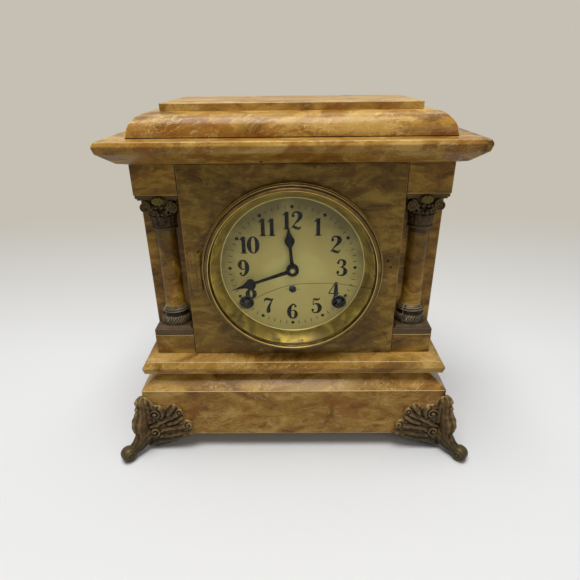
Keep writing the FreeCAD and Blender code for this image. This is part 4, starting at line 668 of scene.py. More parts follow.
def wing():
    """One carved leaf in its own plane: across u, relief outwards, up z."""
    outline = [tuple(point) for point in smooth_path(WING_OUTLINE + WING_OUTLINE[:1], 5)][:-1]
    corners = np.array(outline)
    us, zs = [np.arange(start, end, WING_STEP) for start, end in WING_GRID]
    u, z = np.meshgrid(us, zs, indexing="ij")
    within = inside(u[:-1, :-1] + WING_STEP / 2, z[:-1, :-1] + WING_STEP / 2, outline)
    columns = len(zs)
    cells = [[i * columns + j, (i + 1) * columns + j, (i + 1) * columns + j + 1, i * columns + j + 1]
             for i, j in zip(*np.nonzero(within))]
    flat = np.stack([u.ravel(), z.ravel()], axis=1)
    spans = np.roll(corners, -1, axis=0) - corners
    for index in {a for a, b in rim_of(cells)}:
        t = np.clip(((flat[index] - corners) * spans).sum(1) / (spans ** 2).sum(1), 0, 1)
        nearest = corners + spans * t[:, None]
        flat[index] = nearest[np.argmin(((nearest - flat[index]) ** 2).sum(1))]
    used = sorted({index for cell in cells for index in cell})
    number = {old: new for new, old in enumerate(used)}
    spots = flat[used]
    front = [(a, h, b) for (a, b), h in zip(spots, wing_relief(spots[:, 0], spots[:, 1], outline))]
    back = [(a, WING_BACK, b) for a, b in spots]
    return thickened(front, back, [[number[index] for index in cell] for cell in cells])


# The leg along the corner's diagonal: out, up, half width across, half depth
LEG_STATIONS = (
    (0.6, 63, 2, 1.6), (2.2, 59, 4.6, 4.6), (2.6, 54, 5.6, 4.4), (3.2, 49, 6.2, 5), (3.8, 44, 6.8, 5.6),
    (5, 39, 7.2, 7.2), (6.4, 34, 7.4, 8), (7.2, 29, 7.2, 7.4), (7.4, 24.5, 6.6, 5.8), (8.6, 20, 6.2, 4.4),
    (11.2, 15.6, 5.8, 4), (14.6, 11.8, 5.6, 4.2), (18.4, 8.8, 5.4, 4.6), (22.6, 7.2, 5, 4.6),
)
# The web behind the leg, along the same diagonal: out, up, half height, half width across
WEB_STATIONS = (
    (21, 8, 5, 4.4), (15, 9.6, 6.2, 5), (8, 13, 8.8, 5.4), (1, 16.6, 10, 5.2), (-6, 18.8, 8.4, 4.6),
    (-12, 22.4, 4.8, 3.6), (-15, 24, 2.8, 2),
)
# Beads on the leg's front: out, up, radius
LEG_BEADS = ((6.4, 58.4, 2.3), (7.8, 51.6, 1.9), (8.6, 46.8, 1.6))
LEG_SIDES = 48
TOE_SIDES = 36
TOE_OUT = 22.8
TOE_RADIUS = 7.2
TOE_HALF = 5.5
# One end of the toe's barrel, as shares of its half width and radius
TOE_END = ((1, 0), (1, 0.5), (0.94, 0.74), (0.78, 0.9), (0.45, 0.98))
OUT = Vector((1, -1, 0)).normalized()
ACROSS = Vector((1, 1, 0)).normalized()
UP = Vector((0, 0, 1))


def leg(shape):
    """The fluted leg, and the web that ties it to the plinth."""
    points = []
    rows = smooth_path(LEG_STATIONS, 6)
    for (away, z, half, deep), ahead in zip(rows, headings(rows)):
        normal = UP * ahead[0] - OUT * ahead[1]
        for turn in turns(LEG_SIDES):
            face = max(0.0, math.sin(turn))
            flute = 1 + face * (0.045 * math.sin(0.9 * z) - 0.055 * math.cos(8 * turn + 0.05 * z))
            points.append(OUT * away + UP * z + ACROSS * (half * math.cos(turn) * flute)
                          + normal * (deep * math.sin(turn) * flute))
    shape.add(points, tube_faces(points, LEG_SIDES))
    points = []
    for away, z, high, half in smooth_path(WEB_STATIONS, 5):
        for turn in turns(LEG_SIDES):
            flute = 1 + 0.06 * math.cos(10 * turn + 0.12 * away) + 0.03 * math.sin(0.8 * away)
            points.append(OUT * away + UP * (z + high * math.sin(turn))
                          + ACROSS * (half * math.cos(turn) * flute))
    shape.add(points, tube_faces(points, LEG_SIDES))


def toe(shape):
    """The toe's scroll: a barrel with a spiral fillet on both ends."""
    centre = OUT * TOE_OUT + UP * (TOE_RADIUS + 0.1)

    def place(along, reach, turn):
        along, reach = along * TOE_HALF, reach * TOE_RADIUS
        return centre + ACROSS * along + OUT * (reach * math.cos(turn)) + UP * (reach * math.sin(turn))

    stations = [(-along, reach) for along, reach in TOE_END] + [(0, 1)] + list(reversed(TOE_END))
    points = [place(along, reach, turn) for along, reach in stations for turn in turns(TOE_SIDES)]
    shape.add(points, grid_faces(len(stations), TOE_SIDES))
    for side in (-1, 1):
        shares = np.linspace(0, 1, 40)
        path = [place(side, 0.62 - 0.54 * share, 2.2 * FULL * share) for share in shares]
        shape.add(*tube(path, [TOE_RADIUS * (0.13 - 0.05 * share) for share in shares], 6))
        shape.add(*ball(place(side, 0, 0), (TOE_RADIUS * 0.2,) * 3))


def foot():
    """A foot whose corner is at zero: out to the right is +x and out to the front is -y."""
    shape = Parts()
    points, faces = wing()
    shape.add([(-u, -relief, z) for u, relief, z in points], faces)
    shape.add([(relief, u, z) for u, relief, z in points], faces)
    leg(shape)
    toe(shape)
    for away, z, radius in LEG_BEADS:
        shape.add(*ball(OUT * away + UP * z, (radius,) * 3, 10, 16))
    return shape


def feet():
    """The same foot at the four corners of the plinth."""
    pattern = foot()
    for side, side_name in ((1, "right"), (-1, "left")):
        for depth, depth_name in ((1, "front"), (-1, "rear")):
            name = "foot_%s_%s" % (depth_name, side_name)
            placed = pattern.moved(
                lambda p: Vector((side * (p.x + PLINTH_HIGH.x), depth * (p.y + PLINTH_LOW.y), p.z)))
            placed.piece("cast_" + name, BRONZE, slot="antique_bronze", stands_for=name)


# Column mounts: sections are pairs of radius and height over the mount's foot

CAPITAL_SECTION = (
    (0.1, 0), (8.6, 0), (10.2, 0), (10.9, 0.9), (10.9, 1.6), (10.2, 2.2), (9.4, 2.6), (9.9, 3.2), (9.9, 3.8),
    (9.0, 4.3), (8.8, 8), (8.9, 14), (9.8, 19), (12.0, 23.5),
)
BELL_TOP = 12.6
# Rings of leaves: number, first place, radius, lowest, highest, width and curl, then the tip's height,
# reach and size. Places are fifths of the half round.
LEAF_RINGS = (
    (5, 0.5, 10.0, 4.0, 15.5, 3.7, 3.2, 14.6, 11.3, 1.5),
    (4, 1, 10.2, 7.0, 22.0, 3.6, 4.2, 20.6, 12.5, 1.6),
)
LEAF_ROWS = 13
LEAF_COLUMNS = 11
LEAF_THICK = 0.9
TIP_APART = 0.13
SCROLL_OUT = 11.4
SCROLL_BEHIND = 2.2
SCROLL_BELOW = 10.2
SCROLL_RADIUS = 4.6
SCROLL_WIDTH = 4.0
BUD_SIZE = (1.3, 1.5, 1.7)
PETAL_SIZE = (1.8, 1.4, 1.5)
BOSS_SIZE = (2.2, 1.4, 1.6)
# Slabs of the abacus: lowest, highest and inset
ABACUS_SLABS = ((0, 1.3, 1.4), (1.3, 2.0, 0.7), (2.0, 4.6, 0))
ABACUS_HIGH = 4.6
ABACUS_HOLLOW = 3.4
PLATE_SECTION = ((0.3, 0), (0, 0.35), (0, 5.6), (0.5, 6), (1.5, 6.2), (2.9, 7.2), (3.7, 8))
WREATH_REACH = 11.0
WREATH_MIDDLE = 11.8
BASE_SECTION = (
    (11.3, 17.0), (11.0, 18.2), (11.2, 19.6), (12.2, 20.4), (12.8, 21.1), (12.8, 21.9), (12.0, 22.3),
    (12.2, 22.8), (12.2, 23.4), (11.2, 24.0), (10.2, 25.2),
)
MOULD_RADIUS = 17.0


def acanthus(centre, turn, stand, low, high, width, curl):
    """A leaf that stands on a bell, with a rib, lobes and a tip that curls out."""
    outward = Vector((math.cos(turn), math.sin(turn), 0))
    sideways = Vector((-outward.y, outward.x, 0))
    points = []
    for t in np.linspace(0, 1, LEAF_ROWS):
        lobes = 0.66 + 0.34 * abs(math.sin(t * math.pi * 3.2))
        half = width * (0.75 + 0.35 * math.sin(t * math.pi)) * lobes * (1 - t ** 4)
        rise = low + (high - low) * (t - 0.22 * t ** 5)
        for s in np.linspace(-1, 1, LEAF_COLUMNS):
            ridge = 0.55 * math.exp(-(s / 0.16) ** 2) - 0.4 * math.cos(s * 9) * t * (1 - t) - 0.5 * s * s
            points.append(centre + outward * (stand + curl * t ** 3 + ridge) + sideways * (s * half)
                          + UP * (rise - abs(s) * 0.8 * t))
    back = [point - outward * LEAF_THICK for point in points]
    return thickened(points, back, grid_faces(LEAF_ROWS, LEAF_COLUMNS, closed=False))


def leaf_ring(shape, centre, ring):
    """Leaves round the bell, each with two curls at its tip."""
    count, first, stand, low, high, width, curl, tip_rise, tip_reach, tip_size = ring
    for index in range(count):
        turn = math.pi * (1 + (index + first) / 5)
        shape.add(*acanthus(centre, turn, stand, low, high, width, curl))
        for angle in (turn - TIP_APART, turn + TIP_APART):
            tip = centre + Vector((tip_reach * math.cos(angle), tip_reach * math.sin(angle), tip_rise))
            shape.add(*ball(tip, (tip_size * 0.8, tip_size, tip_size * 0.8)))


def volute(shape, centre, radius, width, way):
    """A scroll of ribbon standing in the front plane."""
    path = []
    for share in np.linspace(0, 1, 44):
        turn = math.pi / 2 + way * share * 2.4 * FULL
        reach = radius * (1 - 0.86 * share)
        path.append((reach * math.cos(turn), reach * math.sin(turn), radius * (0.17 - 0.06 * share)))
    points = []
    for (x, z, thick), (dx, dz) in zip(path, headings(path)):
        for share, y in ((-1, 0), (-0.4, -0.7), (0.4, -0.7), (1, 0), (1, width), (-1, width)):
            points.append(centre + Vector((x - dz * thick * share, y, z + dx * thick * share)))
    shape.add(points, tube_faces(points, 6))
    shape.add(*ball(centre, (radius * 0.24, 1.4, radius * 0.24), 6, 12))


def corner_scrolls(shape, middle, front, top):
    """A scroll under each corner of the abacus, on a stalk of four buds."""
    for way in (-1, 1):
        eye = Vector((middle + way * SCROLL_OUT, front + SCROLL_BEHIND, top - SCROLL_BELOW))
        volute(shape, eye, SCROLL_RADIUS, SCROLL_WIDTH, way)
        for share in np.linspace(0, 1, 4):
            bud = (middle + way * (5.0 + 4.6 * share), front + 4.5 - 1.6 * share, top - 14.4 + 5.4 * share)
            shape.add(*ball(bud, BUD_SIZE))


def abacus(shape, middle, half, front, back, low):
    """Three slabs with a hollow front, each wider than the one below."""
    for slab_low, slab_high, inset in ABACUS_SLABS:
        outline = []
        for share in np.linspace(-1, 1, 21):
            x = share * half
            hollow = 0.4 + ABACUS_HOLLOW * (1 - share * share)
            outline.append((middle + x - math.copysign(min(inset, abs(x)), x), front + hollow + inset))
        outline += [(middle + half - inset, back), (middle - half + inset, back)]
        points = [(x, y, low + z) for z in (slab_low, slab_high) for x, y in outline]
        shape.add(points, tube_faces(points, len(outline)))


def rosette(side, centre):
    """Eight petals round a boss."""
    shape = Parts()
    for turn in turns(8, FULL / 16, FULL + FULL / 16):
        petal = centre + Vector((3.4 * math.cos(turn), 0, 2.1 * math.sin(turn)))
        shape.add(*ball(petal, PETAL_SIZE, 8, 12))
    shape.add(*ball(centre - Vector((0, 0.2, 0)), BOSS_SIZE, 8, 12))
    shape.piece("rosette_" + side, ROSETTE_BRONZE, slot="antique_bronze")


def capital(side):
    """The cast capital: a bell with two rings of leaves, scrolls, an abacus and a rosette."""
    name = "column_capital_" + side
    low, high = node_box(name)
    middle = (low.x + high.x) / 2
    centre = Vector((middle, high.y, low.z))
    abacus_low = high.z - ABACUS_HIGH
    top = abacus_low - low.z
    shape = Parts()
    profile = [*CAPITAL_SECTION, (BELL_TOP, top), (0.1, top)]
    shape.add(*lathe(profile, centre, "z", 40, FRONT_HALF))
    for ring in LEAF_RINGS:
        leaf_ring(shape, centre, ring)
    corner_scrolls(shape, middle, low.y, high.z)
    abacus(shape, middle, (high.x - low.x) / 2, low.y, high.y, abacus_low)
    rosette(side, Vector((middle, low.y + 1.6, high.z - 5.2)))
    cast = shape.pressed(low.y, high.y)
    cast.piece("cast_" + name, CAPITAL_BRONZE, slot="antique_bronze", stands_for=name)


def wreath(angle, rise):
    """The crossed leaves on the base's swell."""
    leaves = 0.24 * math.cos(42 * angle + 1.5 * rise) + 0.22 * math.cos(30 * angle - 1.7 * rise)
    return leaves if 7.5 < rise < 16.0 else 0.0


def base(side):
    """The cast base: a square plate, a wreath and the mouldings over it."""
    name = "column_base_" + side
    low, high = node_box(name)
    middle = (low.x + high.x) / 2
    rows = [(inset, low.z + rise) for inset, rise in PLATE_SECTION]
    plate = three_sided(middle, (high.x - low.x) / 2, low.y, high.y, rows)
    piece("cast_plate_" + side, *plate, PLATE_BRONZE, smooth=False, slot="antique_bronze")
    profile = [(0.1, 6.4), (WREATH_REACH, 6.4)]
    for turn in np.linspace(-math.pi / 2, math.pi / 2, 13):
        profile.append((WREATH_REACH + 3.0 * math.cos(turn), WREATH_MIDDLE + 4.8 * math.sin(turn)))
    top = high.z - low.z
    profile += [*BASE_SECTION, (9.3, top), (0.1, top)]
    shape = Parts()
    shape.add(*lathe(profile, Vector((middle, high.y, low.z)), "z", 150, FRONT_HALF, wreath))
    cast = shape.pressed(low.y, high.y)
    cast.piece("cast_" + name, BASE_BRONZE, slot="antique_bronze", stands_for=name)


def top_mould():
    """The quarter-round run over the cornice, mitred at its corners, with a small fillet at its foot."""
    section = [(0.3, MOULD_LOW.z), (0.0, MOULD_LOW.z + 0.3)]
    for turn in np.linspace(0, math.pi / 2, 25):
        inset = MOULD_RADIUS * (1 - math.cos(turn))
        section.append((inset, MOULD_HIGH.z - MOULD_RADIUS * (1 - math.sin(turn))))
    run = three_sided(0, MOULD_HIGH.x, MOULD_LOW.y, MOULD_HIGH.y, section)
    piece("lacquered_mould", *run, AMBER, slot="amber_lacquer", stands_for="top_mould", sharp=40)


# Bezel and glass

RING_STEPS = 180
# The ring's section, as radius beyond the glass and distance forwards from the panel
RING_SECTION = (
    (5.6, 0), (6.3, 0.3), (6.5, 1.2), (6.5, 2.6), (6.3, 3.4), (5.7, 3.9), (5.2, 4.2), (5.9, 4.8),
    (6, 5.6), (5.6, 6.4), (4.9, 6.8), (4.5, 7.1), (4.9, 7.7), (4.9, 8.5), (4.3, 9.2), (3.7, 9.4),
    (3.6, 9.9), (3.3, 10.8), (2.6, 11.5), (1.8, 11.7), (1, 11.4), (0.5, 10.8), (0.2, 10), (-0.5, 9.4),
    (-0.7, 8.8), (-0.7, 3), (-0.2, 0),
)
REED_GROOVES = ((5.15, 4.2), (4.45, 7.1), (3.55, 9.9))
BRIGHT_LINES = ((6.25, 2.2), (5.75, 5.6), (4.7, 8.4))
KNUCKLE = ((0.1, -5.6), (1.9, -5.6), (2.1, -5.3), (2.1, 5.3), (1.9, 5.6), (0.1, 5.6))
PIN_INSET = 2.1
PIN_AHEAD = 2.6
KNUCKLE_HALF = Vector((0, 0.8, 5.5))
KNUCKLE_REACH = Vector((5.0, 0.8, 5.5))
HINGE_PIN = ((0.1, -17.8), (1.2, -17.6), (1.2, 17.6), (0.1, 17.8))
# The dish of the reflector: its radius grows from the sight by a power of its depth
SIGHT_RADIUS = 62.0
REFLECTOR_DEPTH = REFLECTOR_HIGH.y - REFLECTOR_LOW.y
DISH_INNER = SIGHT_RADIUS + 0.5
DISH_REACH = GLASS_RADIUS - 1.7 - SIGHT_RADIUS
DISH_FOOT = 0.8
DISH_RISE = REFLECTOR_DEPTH - 0.9
DISH_POWER = 1.5
# Dark scratches on the reflector, as points across and up from the dial's centre
REFLECTOR_MARKS = (
    ((-19.5, -64.6), (-15, -65.8), (-11.5, -66)),
    ((4.5, -67.4), (7, -66.2), (9.8, -66.7)),
    ((8.8, -66.8), (8, -68.4)),
    ((-48.5, -45.5), (-44.5, -48.8), (-42, -49.6)),
    ((37.6, -54), (41.2, -51)),
)
# The crack in the glass and its ends over the reflector, as points of the same kind
CRACK_PATH = (
    (-49.8, -36.3), (-43.1, -29.4), (-36.7, -24.6), (-29.7, -20.8), (-19.2, -15.7), (-4.3, -10.4),
    (10.9, -8.4), (35.7, -8.4), (52.4, -11.3), (59.5, -12.5),
)
CRACK_ENDS = (((-49.8, -36.3), (-55.5, -41), (-61.5, -44.5)), ((59.5, -12.5), (68, -13.4)))
CRACK_WIDTH = 0.26


def dial_point(across, rise, y):
    """A point across and up from the dial's centre, at a depth."""
    return Vector((across, y, CENTRE_Z + rise))


def beads(name, wires, look, **settings):
    """Round wires about the dial's centre, each with its radius, depth and half thickness."""
    shape = Parts()
    for radius, y, thick in wires:
        section = [(radius + thick * math.cos(turn), thick * math.sin(turn)) for turn in turns(10)]
        shape.add(*lathe(section, dial_point(0, 0, y), steps=RING_STEPS, closed=True))
    shape.piece(name, look, "bezel_door", **settings)


def bezel():
    """The ring with its reeds, the bright beads round the glass, and the knuckle of its hinge."""
    shape = Parts()
    profile = [(GLASS_RADIUS + beyond, along) for beyond, along in RING_SECTION]
    shape.add(*lathe(profile, dial_point(0, 0, RING_HIGH.y), steps=RING_STEPS, closed=True))
    pin = Vector((RING_LOW.x + PIN_INSET, RING_HIGH.y - PIN_AHEAD, CENTRE_Z))
    shape.add(*lathe(KNUCKLE, pin, "z", 24))
    shape.add(*lathe(HINGE_PIN, pin, "z", 16))
    shape.add(*block(pin - KNUCKLE_HALF, pin + KNUCKLE_REACH))
    shape.piece("reeded_bezel", BEZEL_BRASS, "bezel_door", slot="worn_brass", stands_for="bezel_ring",
                sharp=48)
    grooves = [(GLASS_RADIUS + beyond, RING_HIGH.y - along, 0.55) for beyond, along in REED_GROOVES]
    beads("reed_grooves", grooves, DARK_MARK)
    lines = [(GLASS_RADIUS + beyond, RING_HIGH.y - along, 0.3) for beyond, along in BRIGHT_LINES]
    lines.insert(0, (GLASS_RADIUS + 0.7, RING_LOW.y + 0.8, 0.45))
    beads("bezel_bead", lines, BRIGHT_BEAD, slot="worn_brass")
    sight = (SIGHT_RADIUS - 0.2, REFLECTOR_HIGH.y - 0.3, 0.34)
    beads("sight_bead", [sight], SIGHT_BEAD, slot="worn_brass")


def reflector():
    """The dished ring between the glass and the dial, with its scratches."""
    outer = GLASS_RADIUS - 0.4
    profile = [(SIGHT_RADIUS + 0.9, 0.0), (SIGHT_RADIUS, 0.0), (SIGHT_RADIUS - 0.05, 0.5)]
    for t in np.linspace(0, 1, 19):
        profile.append((DISH_INNER + DISH_REACH * t ** DISH_POWER, DISH_FOOT + DISH_RISE * t))
    profile += [(outer, REFLECTOR_DEPTH - 0.1), (outer, REFLECTOR_DEPTH - 1.0), (SIGHT_RADIUS + 2.6, 0.0)]
    ring = lathe(profile, dial_point(0, 0, REFLECTOR_HIGH.y), steps=RING_STEPS, closed=True)
    piece("dished_reflector", *ring, REFLECTOR_BRASS, "bezel_door", slot="worn_brass",
          stands_for="bezel_reflector")
    marks = []
    for mark in REFLECTOR_MARKS:
        marks.append([])
        for across, rise in smooth_path(mark, 5):
            t = (max(math.hypot(across, rise) - DISH_INNER, 0.0) / DISH_REACH) ** (1 / DISH_POWER)
            depth = REFLECTOR_HIGH.y - DISH_FOOT - DISH_RISE * min(t, 0.95)
            marks[-1].append(dial_point(across, rise, depth))
    rods("reflector_scratches", marks, 0.3, DARK_MARK, "bezel_door", 6)


def glass():
    """The flat glass with ground edges, and the crack on it."""
    thick = GLASS_HIGH.y - GLASS_LOW.y
    reach = GLASS_RADIUS - 0.1
    profile = ((0.05, 0), (reach - 0.2, 0), (reach, 0.2), (reach, thick - 0.2), (reach - 0.2, thick),
               (0.05, thick))
    pane = lathe(profile, dial_point(0, 0, GLASS_HIGH.y), steps=120)
    piece("cracked_glass", *pane, GLASS, "bezel_door", slot="clear_glass", stands_for="bezel_glass",
          sharp=30)
    for name, paths, look in (("crack_line", (CRACK_PATH,), CRACK), ("crack_ends", CRACK_ENDS, CRACK_END)):
        lines = [[dial_point(across, rise, GLASS_LOW.y - 0.05) for across, rise in smooth_path(path, 4)]
                 for path in paths]
        rods(name, lines, CRACK_WIDTH, look, "bezel_door", 5)


# Dial

def oval(middle, wide, high, thin, swell, count=21, power=1.0):
    """A closed stroke round a middle, broadest at its sides."""
    return [(middle[0] + wide * math.cos(turn), middle[1] + high * math.sin(turn),
             thin + swell * abs(math.cos(turn)) ** power) for turn in np.linspace(0, FULL, count)]


# Numerals in a unit height: advance, strokes of (across, up, half width), and balls of (across, up, radius)
DIGITS = {
    "0": (0.66, [oval((0.32, 0.5), 0.235, 0.485, 0.028, 0.062, 25, 1.5)], []),
    "1": (0.5, [[(0.28, 0, 0.085), (0.28, 0.5, 0.08), (0.28, 1, 0.08)], [(0.3, 0.99, 0.02),
         (0.2, 0.89, 0.05), (0.05, 0.79, 0.015)], [(0.08, 0.018, 0.02), (0.28, 0.018, 0.03),
         (0.48, 0.018, 0.02)]], []),
    "2": (0.66, [[(0.1, 0.8, 0.03), (0.17, 0.94, 0.035), (0.32, 0.98, 0.04), (0.49, 0.9, 0.075),
         (0.53, 0.74, 0.09), (0.44, 0.55, 0.065), (0.25, 0.34, 0.035), (0.08, 0.12, 0.024)],
         [(0.05, 0.09, 0.02), (0.16, 0.14, 0.055), (0.32, 0.07, 0.065), (0.47, 0.05, 0.055),
         (0.58, 0.17, 0.015)]], [(0.14, 0.77, 0.085)]),
    "3": (0.66, [[(0.1, 0.83, 0.03), (0.19, 0.95, 0.035), (0.33, 0.98, 0.04), (0.47, 0.88, 0.07),
         (0.48, 0.71, 0.07), (0.36, 0.56, 0.03), (0.23, 0.53, 0.02)], [(0.28, 0.54, 0.02),
         (0.46, 0.47, 0.05), (0.55, 0.28, 0.088), (0.48, 0.08, 0.065), (0.3, 0.01, 0.035),
         (0.14, 0.06, 0.03), (0.08, 0.19, 0.03)]], [(0.13, 0.8, 0.078), (0.12, 0.22, 0.085)]),
    "4": (0.7, [[(0.43, 0.99, 0.022), (0.03, 0.28, 0.028)], [(0.03, 0.265, 0.03), (0.66, 0.265, 0.03)],
         [(0.45, 1, 0.06), (0.45, 0.5, 0.085), (0.45, 0, 0.085)], [(0.27, 0.018, 0.02),
         (0.45, 0.018, 0.03), (0.63, 0.018, 0.02)]], []),
    "5": (0.66, [[(0.15, 0.96, 0.03), (0.3, 0.9, 0.055), (0.45, 0.92, 0.045), (0.55, 1, 0.012)],
         [(0.15, 0.98, 0.022), (0.13, 0.55, 0.022)], [(0.13, 0.54, 0.02), (0.28, 0.62, 0.035),
         (0.46, 0.54, 0.075), (0.54, 0.33, 0.09), (0.46, 0.1, 0.065), (0.28, 0.01, 0.035),
         (0.12, 0.07, 0.03), (0.08, 0.18, 0.03)]], [(0.12, 0.2, 0.08)]),
    "6": (0.66, [[(0.51, 0.85, 0.03), (0.41, 0.97, 0.035), (0.25, 0.88, 0.055), (0.12, 0.62, 0.085),
         (0.12, 0.32, 0.088), (0.2, 0.09, 0.055), (0.33, 0.01, 0.032), (0.47, 0.1, 0.065),
         (0.53, 0.3, 0.082), (0.47, 0.5, 0.05), (0.33, 0.57, 0.025), (0.2, 0.5, 0.02),
         (0.15, 0.4, 0.02)]], [(0.49, 0.83, 0.075)]),
    "7": (0.64, [[(0.04, 0.78, 0.015), (0.09, 0.92, 0.055), (0.26, 0.95, 0.068), (0.42, 0.9, 0.055),
         (0.57, 0.99, 0.015)], [(0.56, 0.98, 0.02), (0.42, 0.7, 0.04), (0.3, 0.42, 0.068),
         (0.27, 0.13, 0.09), (0.31, 0.03, 0.06)]], []),
    "8": (0.66, [oval((0.32, 0.265), 0.21, 0.25, 0.03, 0.062),
                 oval((0.32, 0.755), 0.165, 0.225, 0.028, 0.045)], []),
}
DIGITS["9"] = (0.66, [[(0.65 - x, 1 - z, w) for x, z, w in stroke] for stroke in DIGITS["6"][1]],
               [(0.65 - x, 1 - z, r) for x, z, r in DIGITS["6"][2]])
NUMERAL_HEIGHT = 15.0
NUMERAL_RADIUS = 42.4
MINUTE_RADIUS = 54.0
DIAMOND_REACH = 1.9
INK_Y = DIAL_FRONT - 0.04
INK_STEP = 0.002
STROKE_WEIGHT = 4.4
# A minute tick and a dash beside the regulator, as points across and up
TICK = ((-0.3, MINUTE_RADIUS - 1.6), (0.3, MINUTE_RADIUS - 1.6), (0.3, MINUTE_RADIUS + 1.6),
        (-0.3, MINUTE_RADIUS + 1.6))
DASH = ((4.4, -20.1), (6.4, -20.1), (6.4, -20.6), (4.4, -20.6))
# Holes in the dial: across, up and radius
HOLE_PLACES = ((-41.2, -33.3, 5.75), (41.2, -33.3, 5.75), (0.0, -20.4, 2.5))
GROMMET = ((-0.05, -1.4), (-0.05, 0.25), (0.25, 0.4), (0.75, 0.25), (0.95, 0.0))


def flat_face(shape, corners, y):
    """A flat face on the dial, from points across and up from its centre."""
    shape.add([dial_point(across, rise, y) for across, rise in corners], [list(range(len(corners)))])


def turned(corners, turn):
    """Points turned clockwise about the dial's centre."""
    return [(x * math.cos(turn) + z * math.sin(turn), z * math.cos(turn) - x * math.sin(turn))
            for x, z in corners]


def stroke_shape(shape, stroke, x, z, y):
    """A flat stroke of changing width, lying on the dial."""
    rows = smooth_path(stroke, 5)
    points = []
    for (across, rise, half), (dx, dz) in zip(rows, headings(rows)):
        half *= 1.02 + STROKE_WEIGHT * half
        for side in (-half, half):
            points.append(dial_point(x + (across - dz * side) * NUMERAL_HEIGHT,
                                     z + (rise + dx * side) * NUMERAL_HEIGHT, y))
    shape.add(points, grid_faces(len(rows), 2, closed=False))


def numerals():
    """The twelve numbers, each stroke a little over the one before, and the diamonds at the hours."""
    shape = Parts()
    count = 0
    for hour in range(1, 13):
        turn = math.radians(90 - 30 * hour)
        width = sum(DIGITS[character][0] for character in str(hour))
        x = NUMERAL_RADIUS * math.cos(turn) - width * NUMERAL_HEIGHT / 2
        z = NUMERAL_RADIUS * math.sin(turn) - NUMERAL_HEIGHT / 2
        for character in str(hour):
            advance, strokes, balls = DIGITS[character]
            for stroke in strokes:
                count += 1
                stroke_shape(shape, stroke, x, z, INK_Y - INK_STEP * (count % 9))
            for across, rise, radius in balls:
                count += 1
                disc = [(x + (across + radius * math.cos(t)) * NUMERAL_HEIGHT,
                         z + (rise + radius * math.sin(t)) * NUMERAL_HEIGHT) for t in turns(20)]
                flat_face(shape, disc, INK_Y - INK_STEP * (count % 9))
            x += advance * NUMERAL_HEIGHT
    diamond = [(DIAMOND_REACH * math.sin(t), MINUTE_RADIUS + DIAMOND_REACH * math.cos(t)) for t in turns(4)]
    for turn in turns(12):
        flat_face(shape, turned(diamond, turn), INK_Y)
    shape.piece("dial_numerals", NUMERAL_INK, smooth=False)


def dial_marks():
    """The minute ticks and the two dashes beside the regulator."""
    shape = Parts()
    for minute, turn in enumerate(turns(60)):
        if minute % 5:
            flat_face(shape, turned(TICK, turn), INK_Y)
    for side in (-1, 1):
        flat_face(shape, [(side * across, rise) for across, rise in DASH], INK_Y)
    shape.piece("dial_minute_marks", TICK_INK, smooth=False)


def hole_rims():
    shape = Parts()
    for across, rise, radius in HOLE_PLACES:
        profile = [(radius + beyond, along) for beyond, along in GROMMET]
        shape.add(*lathe(profile, dial_point(across, rise, DIAL_FRONT)))
    # The rims take the darkened steel, painted shade of the holes.
    shape.piece("winding_grommets", DARK_STEEL)


# Hands: half widths at distances from the arbor

HOUR_HAND = (
    (4, 1.7), (14, 1.3), (19.6, 1.5), (22, 2.9), (24.6, 4.15), (27.2, 4.1), (29.9, 2.6), (32.6, 1.5),
    (36, 0.8), (41, 0.12),
)
MINUTE_HAND = (
    (4, 1.9), (20, 1.5), (33.4, 1.4), (34.6, 3.2), (36.8, 4.6), (39.2, 4.7), (41.7, 3.2), (44.8, 1.9),
    (50.4, 0.8), (56, 0.12),
)
HOUR_ANGLE = 355.0
MINUTE_ANGLE = 250.8
HAND_BEVEL = 0.18
POINT_HALF = 0.05


def hand(name, node, widths, angle, body, hub_radius, bore):
    """A spear hand with bevelled sides on a round hub, at an angle clockwise from twelve."""
    low, high = node_box(node)
    turn = math.radians(90 - angle)
    out = Vector((math.cos(turn), 0, math.sin(turn)))
    side = Vector((-out.z, 0, out.x))
    edge = low.y + HAND_BEVEL
    points = []
    for reach, half in smooth_path(widths, 6):
        for share, y in ((-1, high.y), (-1, edge), (-0.55, low.y), (0.55, low.y), (1, edge), (1, high.y)):
            points.append(dial_point(0, 0, y) + out * reach + side * (share * max(half, POINT_HALF)))
    shape = Parts()
    shape.add(points, tube_faces(points, 6))
    thick = high.y - low.y
    hub = ((bore, 0), (hub_radius - 0.15, 0), (hub_radius, 0.12), (hub_radius, thick - 0.14),
           (hub_radius - 0.2, thick), (bore, thick))
    shape.add(*lathe(hub, dial_point(0, 0, high.y), closed=True))
    shape.piece(name, HAND_STEEL, body, slot="blued_steel", stands_for=node, sharp=35)


def hands():
    """Both hands, the nut that holds them and the end of the minute arbor in it."""
    hand("spear_hour_hand", "hour_hand", HOUR_HAND, HOUR_ANGLE, "hour_train", 5.4, 3.4)
    hand("spear_minute_hand", "minute_hand", MINUTE_HAND, MINUTE_ANGLE, "minute_train", 5.6, 2.5)
    low, high = node_box("hand_nut")
    thick = high.y - low.y
    middle = dial_point(0, 0, high.y)
    nut = ((2.5, 0), (4.2, 0), (4.2, thick - 0.3), (3.9, thick), (2.9, thick), (2.6, thick - 0.2),
           (2.5, thick - 0.2))
    piece("hand_collet", *lathe(nut, middle, closed=True), HAND_STEEL, "minute_train", slot="blued_steel",
          stands_for="hand_nut")
    pin = ((0.05, 0), (2.45, 0), (2.45, thick - 0.25), (2.0, thick - 0.05), (0.9, thick + 0.1),
           (0.05, thick + 0.12))
    piece("hand_pin_end", *lathe(pin, middle, steps=32), PIN_END, "minute_train", slot="bright_steel")


# Small marks of age on the lacquer; the pale lines on the front edges of the lower moulding and the plinth
# are also painted highlights

